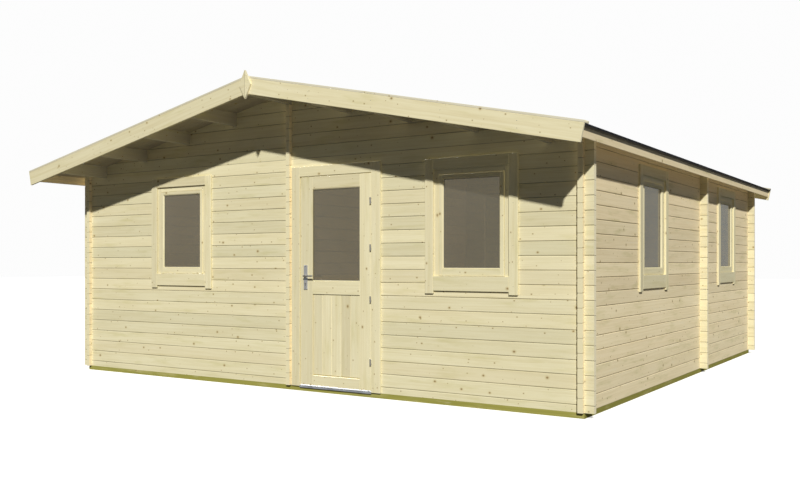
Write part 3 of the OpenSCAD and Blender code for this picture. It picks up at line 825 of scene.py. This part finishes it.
def board_slope(side, node):
    low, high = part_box(node)
    flat = abs(high.x - low.x)
    run = flat / math.cos(ROOF_PITCH)
    thick = (high.z - low.z - flat * math.tan(ROOF_PITCH)) * math.cos(ROOF_PITCH)
    turn = Matrix.Translation((0, 0, high.z)) @ Matrix.Rotation(side * ROOF_PITCH, 4, "Y")
    bench = Bench(11 + side)
    flat_low = (RIDGE_GAP if side > 0 else -run, low.y, -thick)
    flat_high = (run if side > 0 else -RIDGE_GAP, high.y, -UNDER_FELT)
    count = board_row(bench, flat_low, flat_high, 1, 0, ROOF_BOARD_W, turn, show_low=True)
    bench.finish("seen_" + node, roof_timber, "house", "roof_spruce", [node])
    print(count, "boards of", round(thick, 4), "over a run of", round(run, 3))


board_slope(-1, "left_roof_boards")
board_slope(1, "right_roof_boards")

# %% [markdown]
# ## Floor boards
# The floor is laid room by room, up to a small gap at each wall, with boards that
# run from front to back. One loose board closes the doorway between two rooms.

# %% Floors of the three rooms
FLOOR_BOARD_W = 0.095
floor_low, floor_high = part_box("floor_boards")
cross_low, cross_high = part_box("cross_partition")
doorway_low, doorway_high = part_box("middle_partition_head")
floor_gap = WALL_RIGHT - LOG_T - floor_high.x
aside = LOG_T / 2 + floor_gap
front_end = cross_low.y - floor_gap
rear_start = cross_high.y + floor_gap
stub_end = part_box("middle_partition_rear")[1].y + floor_gap
floors = (
    (floor_low.x, floor_low.y, -aside, front_end),
    (aside, floor_low.y, floor_high.x, front_end),
    (floor_low.x, rear_start, -aside, floor_high.y),
    (aside, rear_start, floor_high.x, floor_high.y),
    (-aside, stub_end, aside, floor_high.y),
)
floor_bench = Bench(23)
for left, near, right, far in floors:
    board_row(floor_bench, (left, near, floor_low.z), (right, far, floor_high.z), 0, 1, FLOOR_BOARD_W)
floor_bench.board((-LOG_T / 2, doorway_low.y, floor_low.z), (LOG_T / 2, doorway_high.y, floor_high.z), 1)
floor_bench.finish("seen_floor_boards", floor_timber, "house", "floor_spruce", ["floor_boards"])

# %% [markdown]
# ## Felt in lapped strips
# The felt comes in rolls about a metre wide. They are laid level from the eaves up,
# each over the one below, and a narrow strip bends over the ridge. The steps are
# only a few millimetres, yet they are what the eye reads on such a roof. Each lap
# is a thin wedge with a slightly wavy edge.

# %% One lap of felt
FELT_COVER = 0.92
LAP_T = 0.0035
LAP_STEP = 0.2
RIDGE_STRIP = 0.25
SUNK = -0.001


def lap(bench, side, top_z, edge, width, start, end):
    """A wedge of felt whose lower edge lies edge metres down the slope."""
    slope = Vector((side * math.cos(ROOF_PITCH), 0, -math.sin(ROOF_PITCH)))
    up = Vector((side * math.sin(ROOF_PITCH), 0, math.cos(ROOF_PITCH)))
    rows = []
    steps = round((end - start) / LAP_STEP)
    for i in range(steps + 1):
        y = start + (end - start) * i / steps
        wave = bench.chance.uniform(-0.0015, 0.0015)
        thick = LAP_T + bench.chance.uniform(-0.0008, 0.0008)
        profile = [(edge + wave, SUNK), (edge + wave, thick), (edge + wave - 0.02, thick * 0.9),
                   (edge - width, 0.0004), (edge - width, SUNK)]
        rows.append([Vector((0, y, top_z)) + slope * down + up * high for down, high in profile])
    bench.skin(rows, 1)


print("laps cover", FELT_COVER, "m each")

# %% [markdown]
# ## Nailing the felt
# Each lap is held near its lower edge by a row of flat-headed nails. A nail is
# three small rings of points: one below the surface, one at its rim and one on top.

# %% Laps, ridge strip and felt nails
NAIL_EVERY = 0.15
NAIL_R = 0.0045
NAIL_IN = 0.025


def nail_head(bench, at, out, radius=NAIL_R, high=0.0012):
    """A flat round head that stands out from a face along out."""
    out = Vector(out).normalized()
    at = Vector(at)
    rows = [at - out * 0.001, at + out * high * 0.6, at + out * high]
    bench.rod(rows, [radius, radius, radius * 0.75], 8, soft=False)


def felt_slope(laps, nails, side, node):
    low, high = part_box(node)
    length = abs(high.x - low.x) / math.cos(ROOF_PITCH)
    up = Vector((side * math.sin(ROOF_PITCH), 0, math.cos(ROOF_PITCH)))
    edges = [length - FELT_COVER * k for k in range(1, int(length / FELT_COVER) + 1)]
    edges = [edge for edge in edges if edge > RIDGE_STRIP + 0.1]
    for edge in edges:
        lap(laps, side, high.z, edge, min(FELT_COVER - 0.15, edge), low.y, high.y)
    lap(laps, side, high.z, RIDGE_STRIP, RIDGE_STRIP, low.y, high.y)
    count = round((high.y - low.y) / NAIL_EVERY)
    for edge in edges + [RIDGE_STRIP, length]:
        down = edge - NAIL_IN
        lift = LAP_T * 0.9 if edge != length else 0.0
        for i in range(count):
            y = low.y + (i + 0.5) * (high.y - low.y) / count
            at = Vector((side * down * math.cos(ROOF_PITCH), y, high.z - down * math.sin(ROOF_PITCH)))
            nail_head(nails, at + up * lift, up)


felt_laps, felt_nails = Bench(91), Bench(92)
felt_slope(felt_laps, felt_nails, -1, "left_felt")
felt_slope(felt_laps, felt_nails, 1, "right_felt")
felt_laps.finish("felt_laps", felt, "house", "roofing_felt")
felt_nails.finish("felt_nails", sill_metal, "house", "brushed_metal")

# %% [markdown]
# ## Nails in the bargeboards
# Two nails hold each bargeboard to the end of each purlin, driven just flush. The
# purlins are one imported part, so its mesh is first parted into single solids, by
# walking from corner to corner along the edges until no corner is left.

# %% Trim nails
NAIL_ROWS = (0.030, 0.085)
PURLIN_NAIL_R = 0.0028
TRIM_NAIL_R = 0.0025
FLUSH = 0.0005


def solids_of(node):
    """Boxes of the separate solids of a part, in order along X then Y."""
    mesh = bmesh.new()
    mesh.from_mesh(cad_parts[node].data)
    bmesh.ops.remove_doubles(mesh, verts=mesh.verts[:], dist=1e-5)
    left = set(mesh.verts)
    found = []
    while left:
        group, waiting = [], [left.pop()]
        while waiting:
            vertex = waiting.pop()
            group.append(vertex.co.copy())
            for edge in vertex.link_edges:
                other = edge.other_vert(vertex)
                if other in left:
                    left.remove(other)
                    waiting.append(other)
        found.append((Vector([min(v[i] for v in group) for i in range(3)]),
                      Vector([max(v[i] for v in group) for i in range(3)])))
    mesh.free()
    return sorted(found, key=lambda pair: (round(pair[0].x, 3), round(pair[0].y, 3)))


trim_nails = Bench(93)
for low, high in solids_of("side_purlins"):
    middle = (low.x + high.x) / 2
    for face, out in ((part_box("front_bargeboards")[0].y, -1), (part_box("back_bargeboards")[1].y, 1)):
        for below in NAIL_ROWS:
            nail_head(trim_nails, (middle, face, high.z - below), (0, out, 0), PURLIN_NAIL_R, FLUSH)
print(trim_nails.boards, "nails in the bargeboards")

# %% [markdown]
# ## Reading one window
# All four windows are the same unit, two in the front and two in the right wall.
# The unit is built once about its own middle, with x along the wall and y going
# inwards, and then turned to its wall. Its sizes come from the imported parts.

# %% The window's own sizes
FRAME_LAP = 0.012
CASING_TAIL = 0.025
SASH_PROUD = 0.006
STOP_FACE = 0.015
front_frames = solids_of("front_window_frames")
side_frames = solids_of("side_window_frames")
first_frame = front_frames[0]
centre = (first_frame[0].x + first_frame[1].x) / 2
sash_box = solids_of("front_window_sashes")[0]
pane_box = solids_of("front_window_glass")[0]
casing_box = [pair for pair in solids_of("front_window_casings")
              if pair[0].y < WALL_FRONT and abs((pair[0].x + pair[1].x) / 2 - centre) < 0.01][0]
frame_half = (first_frame[1].x - first_frame[0].x) / 2
open_half = frame_half - FRAME_LAP
sash_half = (sash_box[1].x - sash_box[0].x) / 2
pane_half = (pane_box[1].x - pane_box[0].x) / 2
casing_half = (casing_box[1].x - casing_box[0].x) / 2
casing_t = WALL_FRONT - casing_box[0].y
sash_deep = sash_box[1].y - WALL_FRONT
window_top = first_frame[1].z - FRAME_LAP
board_bottom = casing_box[0].z + CASING_TAIL
print("opening", round(2 * open_half, 3), "sash", round(2 * sash_half, 3), "pane", round(2 * pane_half, 3))

# %% [markdown]
# ## Where the windows go
# A turn is a matrix that takes the unit from its own middle to its place. On the
# right wall it is also turned by a quarter, so that inwards is still inwards.

# %% Four turns
QUARTER = Matrix.Rotation(math.pi / 2, 4, "Z")
front_spots = [((low.x + high.x) / 2) for low, high in front_frames]
side_spots = [((low.y + high.y) / 2) for low, high in side_frames]
front_turns = [Matrix.Translation((x, WALL_FRONT, 0)) for x in front_spots]
side_turns = [Matrix.Translation((WALL_RIGHT, y, 0)) @ QUARTER for y in side_spots]
print("front at", [round(x, 3) for x in front_spots], "side at", [round(y, 3) for y in side_spots])

# %% [markdown]
# ## A mitred ring round the pane
# Round the pane goes a sloped bead, mitred at the corners, and a black gasket.
# A mitre could be faked by letting four bars overlap, but the slopes would cross
# badly at each corner, so every side of the ring is cut at 45 degrees.

# %% Mitred rings
BEAD_W = 0.010
GASKET_W = 0.003


def ring(bench, profile, low_x, high_x, low_z, high_z, turn):
    """Four mitred sides. The profile lists (inset from the rectangle, y)."""
    corners = [(low_x, low_z, 1, 1), (high_x, low_z, -1, 1),
               (high_x, high_z, -1, -1), (low_x, high_z, 1, -1)]
    for i in range(4):
        ends = [[(x + into_x * inset, y, z + into_z * inset) for inset, y in profile]
                for x, z, into_x, into_z in (corners[i], corners[(i + 1) % 4])]
        bench.skin(ends, 0 if i % 2 == 0 else 2, turn)


def pane_ring(beads, gaskets, half, low_z, high_z, face_y, pane_y, turn, middle=0.0):
    """A bead that slopes from the face down to the pane, and the gasket between them."""
    drop = min(0.008, (pane_y - face_y) / 2)
    bead = [(-BEAD_W, face_y + 0.003), (-BEAD_W + 0.002, face_y + 0.001), (0.0, face_y + drop),
            (0.0, pane_y), (-BEAD_W, pane_y)]
    gasket = [(0.0, pane_y - 0.003), (GASKET_W, pane_y - 0.001), (GASKET_W, pane_y), (0.0, pane_y)]
    for bench, profile in ((beads, bead), (gaskets, gasket)):
        ring(bench, profile, middle - half, middle + half, low_z, high_z, turn)


print("bead", BEAD_W, "gasket", GASKET_W)

# %% [markdown]
# ## Window casings
# The side casings run past the head and below the bottom board, so they cast the
# little dark ticks under their feet. The same four boards go round the inside.

# %% The casings of one window
LINING_T = 0.014
CASING_EDGE = 0.003
LINING_EDGE = 0.002
FIT = 0.0005
SASH_GAP = 0.003


def casing_outside(bench, turn):
    half, wide = open_half, casing_half
    foot, top = casing_box[0].z, casing_box[1].z
    sill_top = sash_box[0].z - SASH_GAP
    for side in (-1, 1):
        a, b = sorted((side * half, side * wide))
        bench.board((a, -casing_t, foot), (b, 0, top), 2, CASING_EDGE, turn)
    for low_z, high_z in ((board_bottom, sill_top), (window_top, top)):
        bench.board((-half + FIT, -casing_t, low_z), (half - FIT, 0, high_z), 0, CASING_EDGE, turn)
    for side in (-1, 1):
        for share in (0.06, 0.35, 0.65, 0.94):
            at = Vector((side * (half + wide) / 2, -casing_t, foot + share * (top - foot)))
            nail_head(trim_nails, turn @ at, turn.to_3x3() @ Vector((0, -1, 0)), TRIM_NAIL_R, FLUSH)


def casing_inside(bench, turn):
    half, wide = open_half, casing_half
    near, far = LOG_T, LOG_T + LINING_T
    foot = first_frame[0].z - (wide - half) + FRAME_LAP
    top = window_top + wide - half
    for side in (-1, 1):
        a, b = sorted((side * half, side * wide))
        bench.board((a, near, foot), (b, far, top), 2, LINING_EDGE, turn)
    for low_z, high_z in ((window_top, top), (foot, first_frame[0].z + FRAME_LAP)):
        bench.board((-half, near, low_z), (half, far, high_z), 0, LINING_EDGE, turn)


print("casings", round(casing_half - open_half, 3), "wide and", round(casing_t, 3), "thick")

# %% [markdown]
# ## Window frames and sashes
# The frame is rebated: in front it leaves room for the sash, behind it has a stop.
# The sash stands a little proud of its frame, with two stiles and two rails.

# %% The frame and the sash of one window
FRAME_EDGE = 0.0015
SASH_EDGE = 0.0025


def window_frame(bench, turn):
    low_z, high_z = first_frame[0].z, first_frame[1].z
    light = sash_half + SASH_GAP
    inner = light - STOP_FACE
    gap_low, gap_high = sash_box[0].z - SASH_GAP, sash_box[1].z + SASH_GAP
    for side in (-1, 1):
        for reach, y_from, y_to in ((light, 0.0, sash_deep), (inner, sash_deep, LOG_T)):
            a, b = sorted((side * reach, side * frame_half))
            bench.board((a, y_from, low_z), (b, y_to, high_z), 2, FRAME_EDGE, turn, 1)
    for y_from, y_to, extra in ((0.0, sash_deep, 0.0), (sash_deep, LOG_T, STOP_FACE)):
        reach = light - extra
        bench.board((-reach, y_from, low_z), (reach, y_to, gap_low + extra), 0, FRAME_EDGE, turn, 1)
        bench.board((-reach, y_from, gap_high - extra), (reach, y_to, high_z), 0, FRAME_EDGE, turn, 1)


def window_sash(bench, gaskets, turn):
    low_z, high_z = sash_box[0].z, sash_box[1].z
    pane_low, pane_high = pane_box[0].z, pane_box[1].z
    face = -SASH_PROUD
    inner = pane_half + BEAD_W
    for side in (-1, 1):
        a, b = sorted((side * inner, side * sash_half))
        bench.board((a, face, low_z), (b, sash_deep, high_z), 2, SASH_EDGE, turn)
    bench.board((-inner, face, low_z), (inner, sash_deep, pane_low - BEAD_W), 0, SASH_EDGE, turn)
    bench.board((-inner, face, pane_high + BEAD_W), (inner, sash_deep, high_z), 0, SASH_EDGE, turn)
    pane_ring(bench, gaskets, pane_half, pane_low, pane_high, face, pane_box[0].y - WALL_FRONT, turn)


print("sash stands", SASH_PROUD, "proud")

# %% [markdown]
# ## Hanging all four windows
# Each wall's two windows share four meshes: casings, frames, sashes and gaskets.

# %% All four windows
for wall, turns, seed in (("front", front_turns, 31), ("side", side_turns, 47)):
    casings, frames, sashes, gaskets = (Bench(seed + i) for i in range(4))
    for turn in turns:
        casing_outside(casings, turn)
        casing_inside(casings, turn)
        window_frame(frames, turn)
        window_sash(sashes, gaskets, turn)
    casings.finish(f"seen_{wall}_casings", joinery, "house", "trim_spruce", [f"{wall}_window_casings"])
    frames.finish(f"seen_{wall}_frames", joinery, "house", "joinery_spruce", [f"{wall}_window_frames"])
    sashes.finish(f"seen_{wall}_sashes", joinery, "house", "joinery_spruce", [f"{wall}_window_sashes"])
    gaskets.finish(f"{wall}_gaskets", rubber, "house", "window_glass")

# %% [markdown]
# ## The door's leaf
# Two stiles run the full height and three rails fit between them. The pane sits in
# a bead and a gasket like those of the windows. A thin lip behind the bottom rail's
# top edge closes the groove under the panel. The leaf rides on the door's own body.

# %% Leaf and pane ring
leaf_low, leaf_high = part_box("door_leaf")
panel_low, panel_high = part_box("door_panel")
door_pane_low, door_pane_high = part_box("door_glass")
PANEL_GAP = 0.004
RAIL_DROP = 0.008
LIP_BACK = 0.012
LEAF_EDGE = 0.0025
RAIL_EDGE = 0.0010
pane_middle = (door_pane_high.x + door_pane_low.x) / 2
door_pane_half = (door_pane_high.x - door_pane_low.x) / 2
groove = panel_low.z - RAIL_DROP
front, back = leaf_low.y, leaf_high.y
left_in, right_in = panel_low.x, panel_high.x

leaf_bench, door_gasket = Bench(61), Bench(62)
for a, b in ((leaf_low.x, left_in), (right_in, leaf_high.x)):
    leaf_bench.board((a, front, leaf_low.z), (b, back, leaf_high.z), 2, LEAF_EDGE)
for bottom, top in ((panel_high.z, door_pane_low.z - BEAD_W), (door_pane_high.z + BEAD_W, leaf_high.z)):
    leaf_bench.board((left_in, front, bottom), (right_in, back, top), 0, LEAF_EDGE)
leaf_bench.board((left_in, front, leaf_low.z), (right_in, back, groove), 0, RAIL_EDGE)
leaf_bench.board((left_in, panel_low.y + LIP_BACK, groove - 0.001),
                 (right_in, back, panel_low.z + PANEL_GAP), 0, 0.0005)
pane_ring(leaf_bench, door_gasket, door_pane_half, door_pane_low.z, door_pane_high.z,
          front, door_pane_low.y, None, pane_middle)
leaf_bench.finish("seen_door_leaf", joinery, "door", "joinery_spruce", ["door_leaf"])
door_gasket.finish("door_gasket", rubber, "door", "window_glass")

# %% [markdown]
# ## The door's panel
# The lower panel is made of upright tongued boards with a V at each joint. It is
# set back from the face, so the middle rail throws a dark line across its top.

# %% Upright boards of the panel
PANEL_BOARDS = 5
PANEL_V = 0.0035
panel_bench = Bench(63)
step = (panel_high.x - panel_low.x) / PANEL_BOARDS
for i in range(PANEL_BOARDS):
    a, b = panel_low.x + i * step, panel_low.x + (i + 1) * step
    near, far, v = panel_low.y, panel_high.y, PANEL_V
    outline = [(a, near + v), (a + v, near), (b - v, near), (b, near + v),
               (b, far - v), (b - v, far), (a + v, far), (a, far - v)]
    panel_bench.strip(outline, panel_low.z + PANEL_GAP, panel_high.z, 2)
panel_bench.finish("seen_door_panel", joinery, "door", "joinery_spruce", ["door_panel"])

# %% [markdown]
# ## The door's frame
# The frame is four planed members with a stop behind the leaf, which closes the
# gap round it. Each member is two boards: one in front of the stop's face, and a
# deeper one behind it.

# %% Frame of the door
JAMB = 0.040
STOP_GAP = 0.005
frame_low, frame_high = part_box("door_frame")
stop_y = leaf_high.y + STOP_GAP
wall_in = WALL_FRONT + LOG_T
in_left, in_right = frame_low.x + JAMB, frame_high.x - JAMB
head_z = frame_high.z - JAMB
frame_bench = Bench(71)
for a, b, stop_a, stop_b in ((frame_low.x, in_left, frame_low.x, in_left + STOP_FACE),
                             (in_right, frame_high.x, in_right - STOP_FACE, frame_high.x)):
    frame_bench.board((a, WALL_FRONT, BEAM_TOP), (b, stop_y, frame_high.z), 2, FRAME_EDGE, None, 1)
    frame_bench.board((stop_a, stop_y, BEAM_TOP), (stop_b, wall_in, frame_high.z), 2, FRAME_EDGE, None, 1)
for near, far, low_z, high_z in ((WALL_FRONT, stop_y, head_z, frame_high.z),
                                 (stop_y, wall_in, head_z - STOP_FACE, frame_high.z),
                                 (stop_y, wall_in, BEAM_TOP, floor_high.z + STOP_FACE)):
    frame_bench.board((in_left, near, low_z), (in_right, far, high_z), 0, FRAME_EDGE, None, 1)
frame_bench.finish("seen_door_frame", joinery, "house", "joinery_spruce", ["door_frame"])

# %% [markdown]
# ## The door's casings
# The casings cover the joint between the frame and the logs, outside and inside,
# and the outer ones are nailed. These are the last of the trim nails.

# %% Casings and nails
casing_low, casing_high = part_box("door_casings")
casing_top = casing_high.z
casing_bench = Bench(72)
for a, b in ((casing_low.x, in_left), (in_right, casing_high.x)):
    casing_bench.board((a, casing_low.y, BEAM_TOP), (b, WALL_FRONT, casing_top), 2, CASING_EDGE)
    casing_bench.board((a, wall_in, floor_high.z), (b, casing_high.y, casing_top), 2)
casing_bench.board((in_left + FIT, casing_low.y, head_z), (in_right - FIT, WALL_FRONT, casing_top), 0,
                   CASING_EDGE)
casing_bench.board((in_left, wall_in, head_z), (in_right, casing_high.y, casing_top), 0)
casing_bench.finish("seen_door_casings", joinery, "house", "trim_spruce", ["door_casings"])

for middle in ((casing_low.x + in_left) / 2, (in_right + casing_high.x) / 2):
    for share in (0.04, 0.27, 0.50, 0.73, 0.96):
        up = BEAM_TOP + share * (casing_top - BEAM_TOP)
        nail_head(trim_nails, (middle, casing_low.y, up), (0, -1, 0), TRIM_NAIL_R, FLUSH)
trim_nails.finish("trim_nails", dark_steel, "house", "brushed_metal")

# %% [markdown]
# ## Lock plates and levers
# A long brushed plate with eased edges carries the lever and the lock cylinder, on
# both faces of the door. The round parts are turned: each is a few circles at
# growing distances from the plate. The lever is a round bar: out from the plate,
# round a tight bend, then level to the right. A bar swept through a few points
# with a radius at each gives the bend without any sculpting.

# %% Door furniture
lever_low, lever_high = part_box("door_levers")
LEVER_R = (lever_high.z - lever_low.z) / 2
BEND_R = LEVER_R * 1.6
BEND_TURNS = (0.0, 0.4, 0.8, 1.2, math.pi / 2)
KEYHOLE_DOWN = 0.070
SCREW_IN = 0.014
PLATE_EDGE = 0.0035
CYLINDER_OUT = 0.0025
spindle_x = lever_low.x + LEVER_R
spindle_z = (lever_high.z + lever_low.z) / 2
plate_bench, cylinder_bench, lever_bench = Bench(81), Bench(82), Bench(83)


def turned(bench, face, out, z, steps, radii, sides):
    """A round part on the spindle's line, at height z, that stands out from a plate."""
    bench.rod([(spindle_x, face + out * step, z) for step in steps], radii, sides)


def lever(bench, face, out, reach):
    tip, r = lever_high.x, LEVER_R
    bend = []
    for t in BEND_TURNS:
        aside = spindle_x + BEND_R * (1 - math.cos(t))
        bend.append((aside, face + out * (reach - BEND_R * (1 - math.sin(t))), spindle_z))
    points = [(spindle_x, face, spindle_z), (spindle_x, face + out * 0.010, spindle_z)] + bend
    points += [(tip - back, bend[-1][1], spindle_z) for back in (0.03, 0.004, 0.0008)]
    radii = [r * 0.95, r * 0.80] + [r * 0.80] * len(bend) + [r * 0.85, r * 0.80, r * 0.45]
    bench.rod(points, radii, 20)


def furniture(low, high):
    """One face's plate, with its cylinder, screws, rose and lever."""
    out = -1 if low.y < WALL_FRONT else 1
    face = low.y if out < 0 else high.y
    plate_bench.board(low, high, 2, PLATE_EDGE, None, 3)
    hole = spindle_z - KEYHOLE_DOWN
    turned(cylinder_bench, face, out, hole, (0.0, CYLINDER_OUT, 0.003), (0.0085, 0.0085, 0.0075), 24)
    near, far = sorted((face, face + out * CYLINDER_OUT))
    cylinder_bench.board((spindle_x - 0.005, near, hole - 0.024), (spindle_x + 0.005, far, hole), 2,
                         0.001, None, 1)
    for z in (high.z - SCREW_IN, low.z + SCREW_IN):
        turned(cylinder_bench, face, out, z, (-0.001, 0.0012, 0.0018), (0.0045, 0.0045, 0.003), 16)
    lever(lever_bench, face, out, abs((lever_low.y if out < 0 else lever_high.y) - face) - LEVER_R)
    turned(lever_bench, face, out, spindle_z, (0.0002, 0.006, 0.008), (0.016, 0.016, 0.013), 32)


for plate_low, plate_high in solids_of("lock_plates"):
    furniture(plate_low, plate_high)
plate_bench.finish("seen_lock_plates", steel, "door", "brushed_metal", ["lock_plates"])
cylinder_bench.finish("lock_cylinders", dark_steel, "door", "brushed_metal")
lever_bench.finish("seen_door_levers", dark_steel, "lever", "brushed_metal", ["door_levers"])

# %% [markdown]
# ## Lamps
# One low lamp like a sun, from the right of the front, gives the clear shadow of
# the bargeboard on the logs. Two lamps without shadow fill in: one from behind, so
# that the back and the left wall can be seen, and a faint one from the right.

# %% Sun and fill
SUN_TRAVEL = (-0.472, 0.726, -0.501)
SUN_STRENGTH = 4.0
SUN_SPREAD = 1.5
BACK_TRAVEL = (0.62, -0.70, -0.36)
BACK_LIGHT = 2.4
SIDE_TRAVEL = (-1.0, 0.0, -0.25)
SIDE_FILL = 0.07
FILL_SPREAD = 20.0


def lamp(name, travel, strength, spread, color, shadow=True):
    data = bpy.data.lights.new(name, "SUN")
    data.energy = strength
    data.angle = math.radians(spread)
    data.color = color
    data.use_shadow = shadow
    made = bpy.data.objects.new(name, data)
    made.rotation_euler = Vector(travel).to_track_quat("-Z", "Y").to_euler()
    bpy.context.scene.collection.objects.link(made)


lamp("sun", SUN_TRAVEL, SUN_STRENGTH, SUN_SPREAD, (1.0, 0.99, 0.96))
lamp("back_light", BACK_TRAVEL, BACK_LIGHT, FILL_SPREAD, (1.0, 1.0, 1.0), shadow=False)
lamp("side_fill", SIDE_TRAVEL, SIDE_FILL, FILL_SPREAD, (1.0, 0.98, 0.97), shadow=False)
print("three lamps")

# %% [markdown]
# ## Sky
# The background looks nearly white. The same white used as light would wash out
# every shadow, so the sky gives three answers: white where it is looked at, dim
# where it lights the cabin, and in between where glass and metal mirror it.

# %% A pale sky
SKY_LIGHT = 0.08
SKY_IN_GLASS = 0.48
world = bpy.data.worlds.new("pale_sky")
world.use_nodes = True
world.node_tree.nodes.clear()
sky = Graph(world.node_tree)


def sky_of(color, strength):
    return sky.add("ShaderNodeBackground", {"Color": color + (1.0,), "Strength": strength}).outputs[0]


seen = sky_of((0.98, 0.98, 0.98), 1.0)
lighting = sky_of((0.86, 0.93, 1.0), SKY_LIGHT)
mirrored = sky_of((0.72, 0.86, 1.0), SKY_IN_GLASS)
ray = sky.add("ShaderNodeLightPath").outputs
both = sky.add("ShaderNodeMixShader", {0: ray["Is Glossy Ray"], 1: lighting, 2: mirrored}).outputs[0]
both = sky.add("ShaderNodeMixShader", {0: ray["Is Camera Ray"], 1: both, 2: seen}).outputs[0]
sky.add("ShaderNodeOutputWorld", {"Surface": both})
bpy.context.scene.world = world
bpy.context.scene.view_settings.view_transform = "Standard"
print("sky ready")

# %% [markdown]
# ## Floor
# The floor is a wide pale plane. Like the sky it looks nearly white, but throws
# little light back up, so that the underside of the roof stays in the shade.

# %% A pale floor
FLOOR_HALF = 60.0
FLOOR_GLOW = 0.14
THROWN_BACK = (0.085, 0.088, 0.100, 1.0)


def floor_finish():
    g, shader, material = new_finish("pale_floor", 0.9, Emission_Strength=FLOOR_GLOW,
                                     Emission_Color=(1.0, 1.0, 1.0, 1.0))
    pale = g.mix(g.noise(g.place(), 0.6), (0.88, 0.88, 0.88, 1.0), (0.91, 0.91, 0.91, 1.0))
    g.put(shader.inputs["Base Color"], pale)
    bounced = g.add("ShaderNodeBsdfDiffuse", {"Color": THROWN_BACK}).outputs[0]
    looked_at = g.add("ShaderNodeLightPath").outputs["Is Camera Ray"]
    ground = g.add("ShaderNodeMixShader", {0: looked_at, 1: bounced, 2: shader.outputs[0]}).outputs[0]
    g.put(material.node_tree.nodes["Material Output"].inputs["Surface"], ground)
    return material


floor_mesh = bpy.data.meshes.new("pale_floor")
corners = [(x * FLOOR_HALF, y * FLOOR_HALF, 0.0) for x, y in ((-1, -1), (1, -1), (1, 1), (-1, 1))]
floor_mesh.from_pydata(corners, [], [(0, 1, 2, 3)])
floor_mesh.materials.append(floor_finish())
floor = bpy.data.objects.new("pale_floor", floor_mesh)
bpy.context.scene.collection.objects.link(floor)
print("floor", 2 * FLOOR_HALF, "m wide")
